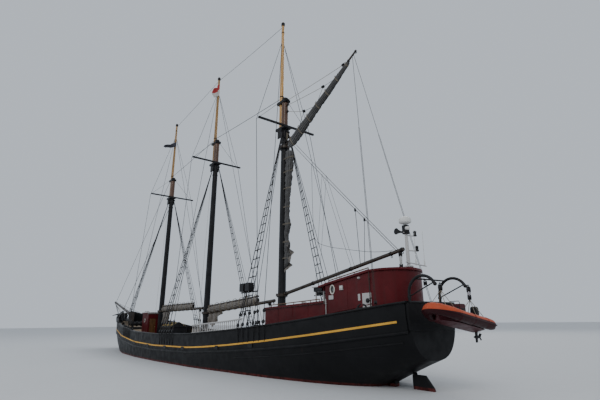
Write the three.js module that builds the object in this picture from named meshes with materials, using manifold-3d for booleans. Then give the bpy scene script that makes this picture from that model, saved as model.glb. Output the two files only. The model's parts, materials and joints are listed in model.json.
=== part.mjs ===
// Three-masted gaff schooner at half size, in millimetres, +X to the bow, +Y to port, +Z up.
// The origin is on the centreline at the waterline, under the main mast.
// Every driving size is the real ship's, in metres, and M turns it into model millimetres.
import * as THREE from 'three';
import { mergeVertices } from 'three/addons/utils/BufferGeometryUtils.js';
import Module from 'manifold-3d';

const wasm = await Module();
wasm.setup();

const M = 500; // model millimetres for one real metre, which is 1:2
const SEAT = 0.4 / M; // gap between pieces that rest on each other, in real metres

// Hull stations from the transom to the stem: x, half breadth at the rail, rail height, underside of the round body, fullness
const STATIONS = [
  [-21.6, 1.5, 3.27, 1.12, 2.7],
  [-21.0, 1.7, 3.195, 0.88, 2.6],
  [-20.4, 1.87, 3.12, 0.62, 2.5],
  [-19.6, 2.09, 3.022, 0.25, 2.3],
  [-18.6, 2.32, 2.9, -0.25, 2.1],
  [-16.5, 2.66, 2.66, -1.2, 2.0],
  [-13.8, 2.93, 2.42, -2.0, 2.1],
  [-10.5, 3.17, 2.18, -2.55, 2.3],
  [-6.0, 3.53, 1.93, -2.8, 2.5],
  [0.0, 3.68, 1.85, -2.85, 2.6],
  [5.0, 3.62, 1.95, -2.8, 2.5],
  [10.0, 3.35, 2.3, -2.65, 2.2],
  [14.0, 2.85, 2.78, -2.3, 1.8],
  [17.0, 2.15, 3.22, -1.7, 1.5],
  [19.0, 1.5, 3.58, -0.9, 1.3],
  [20.2, 0.98, 3.82, 0.1, 1.25],
  [20.7, 0.74, 3.92, 1.2, 1.3],
  [21.2, 0.5, 4.02, 2.6, 1.5],
];
const TRANSOM = STATIONS[0][0];
const STEM = STATIONS[STATIONS.length - 1][0];
const BULWARK = { height: 1.0, thick: 0.12, plank: 0.06 };
const KEEL = { bottom: -3.0, half: 0.14, post: -19.55, shoeEnd: -20.95, shoeTop: -2.82 };
const SHAFT = { z: -1.6, boss: 0.24, blade: 1.05, hubEnd: -20.16 };
const RUDDER = { stock: -20.5, lead: -20.4, half: 0.06, top: 0.54, stockRadius: 0.09 };

// Masts: name, foot x, truck height, crosstree height
const MASTS = [
  ['fore', 9.5, 23.89, 15.24],
  ['main', -0.75, 24.41, 15.79],
  ['mizzen', -11.1, 23.56, 15.01],
];
const MAST = {
  rake: 0.0265,
  foot: 0.25,
  head: 0.2,
  doubling: 2.2,
  forward: 0.42,
  top: 0.14,
  tip: 0.095,
  span: 2.23,
};
// Fittings of a mast, measured from its own axis
const CAP = { after: 0.26, fore: 0.22, half: 0.24, low: 0.34, high: 0.16 };
const TREES = { after: 0.42, fore: 0.24, half: 0.3, low: 0.1, high: 0.06, slack: 0.02 };
const CROSSTREE = { after: 0.36, fore: 0.24, low: 0.02, high: 0.1 };
const CHEEK = { after: 0.1, inner: 0.21, outer: 0.28, drop: 0.7 };
const TOPMAST = { heel: 0.35, button: 0.12, buttonTop: 0.1 };
const COLLAR = { outer: 0.36, height: 0.16, ledge: 0.05, slack: 0.025 };

// Lower booms with a lowered gaff: mast, mast-end height, length, rise in degrees
const LOW_BOOMS = [
  ['fore', 3.75, 9.7, 0.0],
  ['main', 3.36, 9.6, 3.0],
];
const SPAR = { boom: 0.11, boomTip: 0.1, gaff: 0.08, gaffTip: 0.06, bundle: 0.27, gaffStart: 0.37, gaffEnd: 7.75 };
// Lashed sail on a low boom: distance along it, half width; and on the mizzen gaff: distance, half width, height
const LOW_BUNDLE = [[0.45, 0.1], [1.2, 0.17], [3.2, 0.17], [5.0, 0.17], [6.8, 0.15], [7.6, 0.1]];
const GAFF_BUNDLE = [[0.5, 0.1, 0.5], [1.0, 0.17, 0.6], [2.2, 0.16, 0.5], [3.9, 0.13, 0.36], [5.3, 0.1, 0.3], [6.85, 0.05, 0.12]];
const MIZZEN = {
  boomZ: 4.15,
  boomReach: 9.38,
  boomRise: 8.9,
  boom: 0.1,
  boomTip: 0.085,
  throatZ: 13.6,
  gaffLength: 7.71,
  gaffRise: 26.3,
  gaff: 0.085,
  gaffTip: 0.055,
};

const HOUSES = {
  deck: { aft: -16.7, fore: -11.55, half: 1.4, wall: 0.08, top: [3.53, 3.38] },
  wheel: { aft: -20.85, bend: -19.7, fore: -16.78, half: 1.4, wall: 0.08 },
  fore: { aft: 10.05, fore: 11.8, half: 1.0, wall: 0.08, top: [3.6, 3.66] },
};
// Roof edge of the wheelhouse: x, height
const WHEEL_ROOF = [[-21.0, 4.74], [-19.7, 4.7], [-16.3, 4.26]];
const ROOF = { thick: 0.1, camber: 0.09, lip: 0.07 };
const HOOD = { aft: -16.42, fore: -15.7, half: 1.15, low: 4.03, high: 4.24 };
const DOOR = { width: 0.7, height: 1.65, thick: 0.05, sill: 0.12, gap: 0.02, proud: 0.015, barrel: 0.015 };

const SHROUD = { radius: 0.02, rung: 0.014, step: 1.6, feet: [-0.55, -1.2, -1.85] };
const STAY = 0.02;
const FORESTAY = { drop: 0.9, along: 0.42 };
const BOBSTAY = { x: 20.71, z: 1.0, along: 0.95, radius: 0.03 };
const BOWSPRIT = { heel: [19.4, 3.62], end: [27.2, 5.35], radius: 0.17, tip: 0.09 };
const BITTS = { aft: 19.1, fore: 19.42, half: 0.26, top: 3.9 };
const ANCHOR = { x: 18.0, inboard: 0.06 };
const WINDLASS = { aft: 15.7, fore: 16.5, half: 0.85, bed: 0.16, posts: [-0.75, 0.6], axle: 0.5, drum: 0.2, reach: 0.95 };
const WHEEL = { x: -17.75, hub: 2.95, rim: 0.46, bar: 0.03, spoke: 0.6, spokeBar: 0.018, ahead: 0.06 };
// Windows cut through the walls: places along the ship, height, width, height of the hole
const AFTER_HOUSE_PORTS = { xs: [-12.7, -14.1, -15.5], z: 2.75, width: 0.32, height: 0.32 };
const FRONT_PANES = { ys: [-0.85, 0, 0.85], half: 0.33, low: 3.72, high: 4.05 };
const WHEELHOUSE_PORT = { x: -17.28, z: 4.02, width: 0.26, height: 0.36 };
const FORE_HOUSE_PORT = { x: 11.0, z: 2.9, width: 0.3, height: 0.3 };
const DAVIT = { foot: -21.32, side: 1.0, radius: 0.055, bend: 0.64, centreZ: 3.62, headAngle: 27 };
const BOAT = { x: -22.72, bow: 1.8, stern: -1.2, beam: 0.56, tube: 0.2, sternZ: 2.42, rise: 0.17 };
const POLE = { x: -20.64, radius: 0.075, top: 6.8, flange: 0.14 };
const HATCH = { aft: 2.1, fore: 3.9, half: 0.8, coaming: 0.45, wall: 0.08 };

const paint = (color, roughness, metalness = 0) =>
  new THREE.MeshStandardMaterial({ color, roughness, metalness });
const LOOK = {
  black: paint(0x0e0f11, 0.45),
  deck: paint(0x7d6a52, 0.75),
  red: paint(0x4f0f16, 0.5),
  varnish: paint(0xa8691c, 0.35),
  canvas: paint(0x6b655c, 0.9),
  greyCanvas: paint(0x3c3b3d, 0.9),
  wire: paint(0x17181a, 0.6, 0.3),
  bronze: paint(0x9a7a3a, 0.4, 0.9),
  orange: paint(0xc4421f, 0.55),
  maroon: paint(0x3a1015, 0.5),
  white: paint(0xc9ccd0, 0.45),
  steel: paint(0x3a3c3f, 0.55, 0.6),
  roof: paint(0x8f8d88, 0.7),
};

const ship = new THREE.Group();

// Solids
const vec = (x, y, z) => new THREE.Vector3(x, y, z);
const lerp = THREE.MathUtils.lerp;
const rad = THREE.MathUtils.degToRad;

function bare(geometry) {
  const g = geometry.clone();
  for (const name of Object.keys(g.attributes)) if (name !== 'position') g.deleteAttribute(name);
  return mergeVertices(g, 1e-3);
}

function toSolid(geometry) {
  const g = bare(geometry);
  const vertProperties = new Float32Array(g.attributes.position.array);
  const triVerts = new Uint32Array(g.index.array);
  return new wasm.Manifold(new wasm.Mesh({ numProp: 3, vertProperties, triVerts }));
}

function fromSolid(solid) {
  const mesh = solid.getMesh();
  const g = new THREE.BufferGeometry();
  g.setAttribute('position', new THREE.BufferAttribute(new Float32Array(mesh.vertProperties), 3));
  g.setIndex(new THREE.BufferAttribute(new Uint32Array(mesh.triVerts), 1));
  return g;
}

const join = (list) => fromSolid(list.map(toSolid).reduce((a, b) => a.add(b)));
const cut = (body, list) => fromSolid(list.map(toSolid).reduce((a, b) => a.subtract(b), toSolid(body)));

function add(name, geometry, material, group = ship) {
  const flat = geometry.index ? geometry.toNonIndexed() : geometry;
  flat.computeVertexNormals();
  const mesh = new THREE.Mesh(flat, material);
  mesh.name = name;
  group.add(mesh);
  return mesh;
}

// A box from its two corners, in real metres
function block(x0, x1, y0, y1, z0, z1) {
  const g = new THREE.BoxGeometry((x1 - x0) * M, (y1 - y0) * M, (z1 - z0) * M);
  return g.translate(((x0 + x1) / 2) * M, ((y0 + y1) / 2) * M, ((z0 + z1) / 2) * M);
}

// A round bar from p to q, in real metres
function rod(p, q, r0, r1 = r0, sides = 12) {
  const a = p.clone().multiplyScalar(M);
  const b = q.clone().multiplyScalar(M);
  const g = new THREE.CylinderGeometry(r1 * M, r0 * M, a.distanceTo(b), sides, 1);
  const turn = new THREE.Quaternion().setFromUnitVectors(vec(0, 1, 0), b.clone().sub(a).normalize());
  return g.applyQuaternion(turn).translate(...a.add(b).multiplyScalar(0.5).toArray());
}

// A round bar along a bent path, in real metres: side is square to the bend
function sweep(path, radius, side, sides = 10) {
  const radii = Array.isArray(radius) ? radius : path.map(() => radius);
  const rings = path.map((p, i) => {
    const before = path[Math.max(i - 1, 0)];
    const after = path[Math.min(i + 1, path.length - 1)];
    const lead = after.clone().sub(before).normalize();
    const up = lead.clone().cross(side).normalize();
    return Array.from({ length: sides }, (_, j) => {
      const t = (2 * Math.PI * j) / sides;
      const q = p.clone().addScaledVector(side, radii[i] * Math.cos(t)).addScaledVector(up, radii[i] * Math.sin(t));
      return q.toArray();
    });
  });
  return loft(rings);
}

// A closed body through rings of points in real metres, each ring in the same order
function loft(rings, closed = false) {
  const n = rings[0].length;
  const position = rings.flat().flatMap((p) => [p[0] * M, p[1] * M, p[2] * M]);
  const index = [];
  const spans = closed ? rings.length : rings.length - 1;
  for (let i = 0; i < spans; i++) {
    const a = i * n;
    const b = ((i + 1) % rings.length) * n;
    for (let j = 0; j < n; j++) {
      const k = (j + 1) % n;
      index.push(a + j, b + j, b + k, a + j, b + k, a + k);
    }
  }
  if (!closed) {
    const last = (rings.length - 1) * n;
    for (let j = 1; j < n - 1; j++) {
      index.push(0, j, j + 1);
      index.push(last, last + j + 1, last + j);
    }
  }
  return outward(position, index);
}

function outward(position, index) {
  let volume = 0;
  const p = (i) => vec(position[3 * i], position[3 * i + 1], position[3 * i + 2]);
  for (let i = 0; i < index.length; i += 3) {
    volume += p(index[i]).dot(p(index[i + 1]).cross(p(index[i + 2])));
  }
  if (volume < 0) for (let i = 0; i < index.length; i += 3) [index[i + 1], index[i + 2]] = [index[i + 2], index[i + 1]];
  const g = new THREE.BufferGeometry();
  g.setAttribute('position', new THREE.Float32BufferAttribute(position, 3));
  g.setIndex(index);
  return g;
}

// A flat plate cut to an outline in the XZ plane, centred on y
function plateXZ(points, half, y = 0) {
  const shape = new THREE.Shape(points.map(([x, z]) => new THREE.Vector2(x * M, z * M)));
  const g = new THREE.ExtrudeGeometry(shape, { depth: 2 * half * M, bevelEnabled: false, curveSegments: 8 });
  return g.rotateX(Math.PI / 2).translate(0, (y + half) * M, 0);
}

// Reads a table of x and values as straight lines between its rows
function along(table, x, column = 1) {
  if (x <= table[0][0]) return table[0][column];
  for (let i = 1; i < table.length; i++) {
    if (x <= table[i][0]) {
      const [a, b] = [table[i - 1], table[i]];
      return lerp(a[column], b[column], (x - a[0]) / (b[0] - a[0]));
    }
  }
  return table[table.length - 1][column];
}

const railHalf = (x) => along(STATIONS, x, 1);
const railTop = (x) => along(STATIONS, x, 2);
const bodyLow = (x) => along(STATIONS, x, 3);
const hullTop = (x) => railTop(x) - BULWARK.height - BULWARK.plank;
const deckTop = (x) => railTop(x) - BULWARK.height;
const stationsWithin = (x0, x1) => [x0, ...STATIONS.map((s) => s[0]).filter((x) => x > x0 + 0.05 && x < x1 - 0.05), x1];

// Half breadth of the round body at a height
function half(x, z) {
  const fullness = along(STATIONS, x, 4);
  const s = THREE.MathUtils.clamp((railTop(x) - z) / (railTop(x) - bodyLow(x)), 0, 1);
  return railHalf(x) * (1 - s ** fullness) ** (1 / fullness);
}

// Hull
function hullSection(x) {
  const levels = 9;
  const top = hullTop(x);
  const low = bodyLow(x);
  const side = [];
  for (let i = levels; i > 0; i--) {
    const z = low + (top - low) * (i / levels) ** 1.9;
    side.push([x, half(x, z), z]);
  }
  return [...side, [x, 0, low], ...side.map(([, y, z]) => [x, -y, z]).reverse()];
}

function hull() {
  const body = loft(STATIONS.map(([x]) => hullSection(x)));
  const backbone = plateXZ([
    [KEEL.shoeEnd, KEEL.bottom], [14.5, KEEL.bottom], [17.2, -2.8], [18.8, -2.1], [19.8, -0.9], [20.45, 0.35],
    [20.85, 1.35], [21.4, 2.75], [22.3, 3.35], [23.1, 3.62], [23.0, 3.82], [21.45, 3.86], [21.24, 2.95], [20.9, 2.5],
    [18.0, 0.0], [14.0, -1.6], [5.0, -2.2], [-10.0, -2.2], [-16.0, -0.6], [-19.2, 1.0], [KEEL.post, 0.8],
    [KEEL.post, KEEL.shoeTop], [KEEL.shoeEnd, KEEL.shoeTop],
  ], KEEL.half);
  const boss = rod(vec(KEEL.post, 0, SHAFT.z), vec(-18.6, 0, SHAFT.z), SHAFT.boss, 0.1, 16);
  return join([body, backbone, boss]);
}
add('hull', hull(), LOOK.black);

// A wall that follows the hull side from the deck edge to the rail
function bulwark(side) {
  const [x0, x1] = [TRANSOM + BULWARK.thick + SEAT, STEM];
  const rings = stationsWithin(x0, x1).map((x) => {
    const low = hullTop(x) + SEAT;
    const levels = [low, (low + railTop(x)) / 2, railTop(x)];
    const outer = levels.map((z) => [x, side * half(x, z), z]);
    const inner = levels.map((z) => [x, side * (half(x, z) - BULWARK.thick), z]).reverse();
    return [...outer, ...inner];
  });
  return loft(rings);
}
add('bulwark_port', bulwark(1), LOOK.black);
add('bulwark_starboard', bulwark(-1), LOOK.black);

function transomBulwark() {
  const x = TRANSOM;
  const low = hullTop(x) + SEAT;
  const rings = [x, x + BULWARK.thick].map((station) => {
    const levels = [low, (low + railTop(x)) / 2, railTop(x)];
    const port = levels.map((z) => [station, half(x, z), z]);
    return [...port, ...port.map(([, y, z]) => [station, -y, z]).reverse()];
  });
  return loft(rings);
}
add('bulwark_transom', transomBulwark(), LOOK.black);

// The deck is laid in lengths that meet clear of the masts and houses: name, after end, fore end
const DECKS = [
  ['deck_aft', TRANSOM + BULWARK.thick + SEAT, -10.6],
  ['deck_waist', -10.6, 1.2],
  ['deck_midships', 1.2, 8.4],
  ['deck_fore', 8.4, 20.7],
];
function deck(aft, fore) {
  const rings = stationsWithin(aft, fore - SEAT).map((x) => {
    const low = hullTop(x) + SEAT;
    const y = Math.min(half(x, low), half(x, deckTop(x))) - BULWARK.thick - 2 * SEAT;
    return [[x, y, low], [x, y, deckTop(x)], [x, -y, deckTop(x)], [x, -y, low]];
  });
  return loft(rings);
}
for (const [name, aft, fore] of DECKS) add(name, deck(aft, fore), LOOK.deck);

// Deckhouses: hollow walls on the sheer of the deck, a cambered roof and a door
const arc = (cx, cy, a, b, from, to, steps) =>
  Array.from({ length: steps + 1 }, (_, i) => {
    const t = rad(lerp(from, to, i / steps));
    return [cx + a * Math.cos(t), cy + b * Math.sin(t)];
  });

// outline and inside hold the same number of plan points
function walls(outline, inside, topAt) {
  const rings = outline.map(([x, y], i) => {
    const [u, v] = inside[i];
    return [
      [x, y, deckTop(x) + SEAT], [x, y, topAt(x)], [u, v, topAt(u)], [u, v, deckTop(u) + SEAT],
    ];
  });
  return loft(rings, true);
}

const sidePoints = (x0, x1, y) => stationsWithin(x0, x1).map((x) => [x, y]);

function squareHouse({ aft, fore, half: w, wall }, topAt) {
  const plan = (inset) => {
    const inner = sidePoints(aft, fore, 0).map(([x]) => THREE.MathUtils.clamp(x, aft + inset, fore - inset));
    return [...inner.map((x) => [x, w - inset]), ...inner.map((x) => [x, inset - w]).reverse()];
  };
  return walls(plan(0), plan(wall), topAt);
}

const crownAt = (halfWidth) => ROOF.camber * (halfWidth / 1.5);

function roofSlab(xs, halfAt, zAt) {
  const rings = xs.map((x) => {
    const w = halfAt(x);
    const z = zAt(x);
    const crown = crownAt(w);
    return [
      [x, -w, z], [x, w, z], [x, w, z + ROOF.thick],
      [x, w * 0.5, z + ROOF.thick + crown * 0.75], [x, 0, z + ROOF.thick + crown],
      [x, -w * 0.5, z + ROOF.thick + crown * 0.75], [x, -w, z + ROOF.thick],
    ];
  });
  return loft(rings);
}

// A doorway and its leaf, drawn facing +X and then turned: x and y are on the wall's outer face.
// The leaf hangs from two barrels that stand just off the wall, at its left edge seen from outside.
// Hand is -1 for a leaf that hangs from its right edge.
function doorParts(x, y, z, turn = 0, width = DOOR.width, hand = 1) {
  const { height, thick, sill, gap, proud, barrel } = DOOR;
  const [w, top] = [width / 2, sill + height];
  const [pinX, pinY] = [barrel + SEAT, hand * (w + gap)];
  const [flap, edge] = [hand * (w - 0.08), pinY].sort((a, b) => a - b);
  const hinges = [sill + 0.25, top - 0.35].flatMap((low) => [
    rod(vec(pinX, pinY, low), vec(pinX, pinY, low + 0.1), barrel, barrel, 12),
    block(0.004, 0.018, flap, edge, low, low + 0.1),
  ]);
  const leaf = block(proud - thick, proud, gap - w, w - gap, sill + gap, top - gap);
  const place = (g) => g.rotateZ(turn).translate(x * M, y * M, z * M);
  return { hole: place(block(-0.2, 0.2, -w, w, sill, top)), leaf: place(join([leaf, ...hinges])) };
}

function window({ z, width: w, height: h }, x, side, wallY) {
  const g = new THREE.CylinderGeometry(0.5, 0.5, 0.4 * M, 16).scale(w * M, 1, h * M);
  return g.translate(x * M, side * wallY * M, z * M);
}

// Low after house, whose door faces forward
const wallTop = ({ aft, fore, top }) => (x) => along([[aft, top[0]], [fore, top[1]]], x) - ROOF.thick;
const deckHouseTop = wallTop(HOUSES.deck);
{
  const { aft, fore, half: w } = HOUSES.deck;
  const { hole, leaf } = doorParts(fore, 0.5, deckTop(fore));
  const ports = AFTER_HOUSE_PORTS.xs.map((x) => window(AFTER_HOUSE_PORTS, x, -1, w));
  add('after_house_walls', cut(squareHouse(HOUSES.deck, deckHouseTop), [hole, ...ports]), LOOK.red);
  add('after_house_roof', roofSlab([aft, fore, fore + ROOF.lip], () => w + ROOF.lip, (x) => deckHouseTop(x) + SEAT), LOOK.roof);
  add('after_house_door', leaf, LOOK.varnish);
}

// Wheelhouse with a round after end
const wheelTop = (x) => along(WHEEL_ROOF, x) - ROOF.thick;
const wheelRoofHalf = (x) => {
  const { aft, bend, half: w } = HOUSES.wheel;
  const u = THREE.MathUtils.clamp((bend - x) / (bend - aft + ROOF.lip), 0, 1);
  return (w + ROOF.lip) * Math.max(Math.sqrt(1 - u * u), 0.12);
};
const wheelRoofCrown = (x) => wheelTop(x) + SEAT + ROOF.thick + crownAt(wheelRoofHalf(x));
{
  const { aft, bend, fore, half: w, wall } = HOUSES.wheel;
  const plan = (inset) => {
    const xs = sidePoints(bend, fore, 0).map(([x]) => Math.min(x, fore - inset));
    const round = arc(bend, 0, bend - aft - inset, w - inset, 90, 270, 10).slice(1, -1);
    return [...xs.map((x) => [x, inset - w]), ...xs.map((x) => [x, w - inset]).reverse(), ...round];
  };
  const shell = walls(plan(0), plan(wall), wheelTop);
  const frontPanes = FRONT_PANES.ys.map((y) => block(
    fore - 0.2, fore + 0.2, y - FRONT_PANES.half, y + FRONT_PANES.half, FRONT_PANES.low, FRONT_PANES.high));
  const sidePorts = [1, -1].map((side) => window(WHEELHOUSE_PORT, WHEELHOUSE_PORT.x, side, w));
  const { hole, leaf } = doorParts(-18.55, -w, deckTop(-18.2), -Math.PI / 2);
  add('wheelhouse_walls', cut(shell, [...frontPanes, ...sidePorts, hole]), LOOK.red);
  const xs = [aft - ROOF.lip, aft - 0.02, aft + 0.1, POLE.x + POLE.flange, aft + 0.6, aft + 0.85, bend, -16.3];
  const hood = block(HOOD.aft, HOOD.fore, -HOOD.half, HOOD.half, HOOD.low, HOOD.high);
  add('wheelhouse_roof', join([roofSlab(xs, wheelRoofHalf, (x) => wheelTop(x) + SEAT), hood]), LOOK.red);
  add('wheelhouse_door', leaf, LOOK.varnish);
}

// Fore house, whose door faces aft
const foreHouseTop = wallTop(HOUSES.fore);
{
  const { aft, fore, half: w } = HOUSES.fore;
  const { hole, leaf } = doorParts(aft, 0.55, deckTop(aft), Math.PI, 0.6, -1);
  const ports = [1, -1].map((side) => window(FORE_HOUSE_PORT, FORE_HOUSE_PORT.x, side, w));
  add('fore_house_walls', cut(squareHouse(HOUSES.fore, foreHouseTop), [hole, ...ports]), LOOK.red);
  add('fore_house_roof', roofSlab([aft - ROOF.lip, aft, fore, fore + ROOF.lip], () => w + ROOF.lip, (x) => foreHouseTop(x) + SEAT), LOOK.roof);
  add('fore_house_door', leaf, LOOK.varnish);
}

// Hatch between the fore and main masts
{
  const { aft, fore, half: w, coaming, wall } = HATCH;
  const top = deckTop(fore) + coaming;
  const topAt = () => top;
  const plan = (i) => [[aft + i, w - i], [fore - i, w - i], [fore - i, i - w], [aft + i, i - w]];
  add('hatch_coaming', walls(plan(0), plan(wall), topAt), LOOK.varnish);
  add('hatch_lid', block(aft - 0.03, fore + 0.03, -w - 0.03, w + 0.03, top + SEAT, top + SEAT + 0.07), LOOK.varnish);
}

// Rudder and propeller
{
  const { stock, lead, half: t, top, stockRadius } = RUDDER;
  const low = KEEL.shoeTop + SEAT;
  const blade = plateXZ([[lead, low + 0.03], [lead, top], [-21.0, top], [-21.35, 0.1], [-21.65, -1.2], [-21.5, -2.6], [-21.2, low + 0.03]], t);
  const spindle = rod(vec(stock, 0, low), vec(stock, 0, top + 0.08), stockRadius, stockRadius, 16);
  add('rudder', join([blade, spindle]), LOOK.black);

  const hub = rod(vec(KEEL.post - SEAT, 0, SHAFT.z), vec(SHAFT.hubEnd, 0, SHAFT.z), 0.19, 0.09, 16);
  const blades = [0, 1, 2, 3].map((i) => {
    const outline = [[0.1, -0.1], [0.5, -0.26], [0.85, -0.25], [SHAFT.blade, -0.05], [SHAFT.blade, 0.08], [0.8, 0.24], [0.4, 0.2], [0.1, 0.1]];
    const shape = new THREE.Shape(outline.map(([r, w]) => new THREE.Vector2(r * M, w * M)));
    const g = new THREE.ExtrudeGeometry(shape, { depth: 0.04 * M, bevelEnabled: false });
    g.translate(0, 0, -0.02 * M).rotateX(rad(50)).rotateZ(rad(90)).rotateX(rad(90 * i + 45));
    return g.translate(-19.87 * M, 0, SHAFT.z * M);
  });
  add('propeller', join([hub, ...blades]), LOOK.bronze);
}

// Masts, each built upright in a group that gives it its rake
const mastPoint = (foot, dx, y, height) => {
  const base = deckTop(foot);
  const [c, s] = [Math.cos(MAST.rake), Math.sin(MAST.rake)];
  const up = height - base;
  return vec(foot + dx * c - up * s, y, base + dx * s + up * c);
};
const mastRadius = (foot, crosstree, z) => lerp(MAST.foot, MAST.head, (z - deckTop(foot)) / (crosstree + MAST.doubling - deckTop(foot)));

function ring(z, inner, outer, height) {
  const g = new THREE.LatheGeometry([[inner, 0], [outer, 0], [outer, height], [inner, height], [inner, 0]].map(([r, h]) => new THREE.Vector2(r * M, h * M)), 24);
  return g.rotateX(Math.PI / 2).translate(0, 0, z * M);
}

// Height of a raked mast's foot that just clears the sloping deck
const footLift = (foot) => SEAT + Math.max(...[-MAST.foot, MAST.foot].map(
  (e) => deckTop(foot + e) - deckTop(foot) - e * Math.sin(MAST.rake)));

for (const [name, foot, truck, crosstree] of MASTS) {
  const group = new THREE.Group();
  const base = deckTop(foot);
  group.position.set(foot * M, 0, base * M);
  group.rotation.y = -MAST.rake;
  ship.add(group);
  const cap = crosstree + MAST.doubling - base;
  const trestle = crosstree - base;
  const boomZ = name === 'mizzen' ? MIZZEN.boomZ : LOW_BOOMS.find((b) => b[0] === name)[1];
  const rests = [boomZ, ...(name === 'mizzen' ? [MIZZEN.throatZ] : [])].map((z) => {
    const at = z - base - COLLAR.height / 2 - COLLAR.ledge;
    return ring(at, mastRadius(foot, crosstree, z) - 0.03, COLLAR.outer - 0.06, COLLAR.ledge);
  });
  const pole = rod(vec(0, 0, footLift(foot)), vec(0, 0, cap), MAST.foot, MAST.head, 24);
  const capBand = block(-CAP.after, MAST.forward + CAP.fore, -CAP.half, CAP.half, cap - CAP.low, cap - CAP.high);
  const topHole = (z) => rod(vec(MAST.forward, 0, z - 1), vec(MAST.forward, 0, z + 1), MAST.top + 2 * SEAT, MAST.top + 2 * SEAT, 24);
  add(`${name}_lower_mast`, cut(join([pole, capBand, ...rests]), [topHole(cap)]), LOOK.black, group);

  const upright = (low, high, r0, r1, sides) => rod(vec(MAST.forward, 0, low), vec(MAST.forward, 0, high), r0, r1, sides);
  const topmast = upright(trestle - TOPMAST.heel, cap - 0.05, MAST.top, MAST.top, 24);
  const upper = upright(cap - 0.06, truck - base - 0.12, MAST.top, MAST.tip, 24);
  const button = upright(truck - base - 0.13, truck - base, TOPMAST.button, TOPMAST.buttonTop, 16);
  add(`${name}_topmast`, join([topmast, upper, button]), LOOK.varnish, group);

  const mastHole = rod(vec(0, 0, trestle - 1), vec(0, 0, trestle + 1), MAST.head + TREES.slack, MAST.head + TREES.slack, 24);
  const cheek = (y0, y1) => block(-CHEEK.after, MAST.forward, y0, y1, trestle - CHEEK.drop, trestle);
  const trees = [
    block(-TREES.after, MAST.forward + TREES.fore, -TREES.half, TREES.half, trestle - TREES.low, trestle + TREES.high),
    block(-CROSSTREE.after, -CROSSTREE.fore, -MAST.span, MAST.span, trestle - CROSSTREE.low, trestle + CROSSTREE.high),
    cheek(CHEEK.inner, CHEEK.outer),
    cheek(-CHEEK.outer, -CHEEK.inner),
  ];
  add(`${name}_crosstrees`, cut(join(trees), [mastHole, topHole(trestle)]), LOOK.steel, group);
}

// A spar that turns on a collar round its mast: its frame has +X aft along the spar
function sparGroup(foot, z, rise) {
  const group = new THREE.Group();
  const at = mastPoint(foot, 0, 0, z);
  group.position.set(at.x * M, 0, at.z * M);
  group.rotation.set(0, rad(rise), Math.PI, 'YXZ');
  ship.add(group);
  return group;
}

function collared(foot, crosstree, z, rise, reach, radius, tip) {
  const inner = mastRadius(foot, crosstree, z) + COLLAR.slack;
  const collar = ring(-COLLAR.height / 2 + SEAT, inner, COLLAR.outer, COLLAR.height).rotateY(rad(rise) + MAST.rake);
  const spar = join([
    rod(vec(COLLAR.outer - 0.06, 0, 0), vec(reach * 0.55, 0, 0), radius, radius, 16),
    rod(vec(reach * 0.55 - 0.01, 0, 0), vec(reach, 0, 0), radius, tip, 16),
  ]);
  return join([collar, spar]);
}

// A lashed sail as a row of eight-sided sections along the spar: distance, half width, height
function bundle(rows, baseZ) {
  const rings = rows.map(([x, w, h]) => Array.from({ length: 8 }, (_, i) => {
    const t = rad(45 * i + 22.5);
    return [x, w * Math.cos(t) * 1.08, baseZ + h / 2 + (h / 2) * Math.sin(t) / Math.sin(rad(67.5))];
  }));
  return loft(rings);
}

for (const [name, z, reach, rise] of LOW_BOOMS) {
  const [, foot, , crosstree] = MASTS.find((m) => m[0] === name);
  const group = sparGroup(foot, z, rise);
  add(`${name}_boom`, collared(foot, crosstree, z, rise, reach, SPAR.boom, SPAR.boomTip), LOOK.varnish, group);
  const rows = LOW_BUNDLE.map(([x, w]) => [x, w, SPAR.bundle]);
  add(`${name}_sail`, bundle(rows, SPAR.boom + SEAT), LOOK.canvas, group);
  const gaffZ = SPAR.boom + SPAR.bundle + SPAR.gaff + 2 * SEAT;
  add(`${name}_gaff`, rod(vec(SPAR.gaffStart, 0, gaffZ), vec(SPAR.gaffEnd, 0, gaffZ), SPAR.gaff, SPAR.gaffTip, 16), LOOK.varnish, group);
}

{
  const [, foot, , crosstree] = MASTS[2];
  const boom = sparGroup(foot, MIZZEN.boomZ, MIZZEN.boomRise);
  add('mizzen_boom', collared(foot, crosstree, MIZZEN.boomZ, MIZZEN.boomRise, MIZZEN.boomReach, MIZZEN.boom, MIZZEN.boomTip), LOOK.varnish, boom);
  const gaff = sparGroup(foot, MIZZEN.throatZ, MIZZEN.gaffRise);
  add('mizzen_gaff', collared(foot, crosstree, MIZZEN.throatZ, MIZZEN.gaffRise, MIZZEN.gaffLength, MIZZEN.gaff, MIZZEN.gaffTip), LOOK.varnish, gaff);
  const sail = bundle(GAFF_BUNDLE, 0);
  sail.scale(1, 1, -1).translate(0, 0, -(MIZZEN.gaff + SEAT) * M);
  add('mizzen_gaff_sail', fromSolid(toSolid(outward(Array.from(sail.attributes.position.array), Array.from(sail.index.array)))), LOOK.greyCanvas, gaff);
}

// The part of the mizzen sail that hangs down the after side of its mast: height, half breadth, half depth
const HANGING = [
  [5.75, 0.1, 0.12], [6.0, 0.16, 0.24], [6.4, 0.17, 0.3], [6.9, 0.15, 0.24], [7.6, 0.17, 0.34], [8.4, 0.16, 0.32],
  [9.5, 0.14, 0.26], [12.0, 0.16, 0.36], [12.9, 0.15, 0.45], [13.1, 0.12, 0.4],
];
{
  const [, foot, , crosstree] = MASTS[2];
  const [corners, turn] = [8, 22.5];
  const rings = HANGING.map(([z, w, deep]) => Array.from({ length: corners }, (_, i) => {
    const t = rad(360 / corners * i + turn);
    const r = mastRadius(foot, crosstree, z) + 2 * SEAT;
    const p = mastPoint(foot, -r - deep * Math.cos(rad(turn)) + deep * Math.cos(t), w * Math.sin(t), z);
    return [p.x, p.y, p.z];
  }));
  add('mizzen_mast_sail', loft(rings), LOOK.greyCanvas);
}

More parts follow.
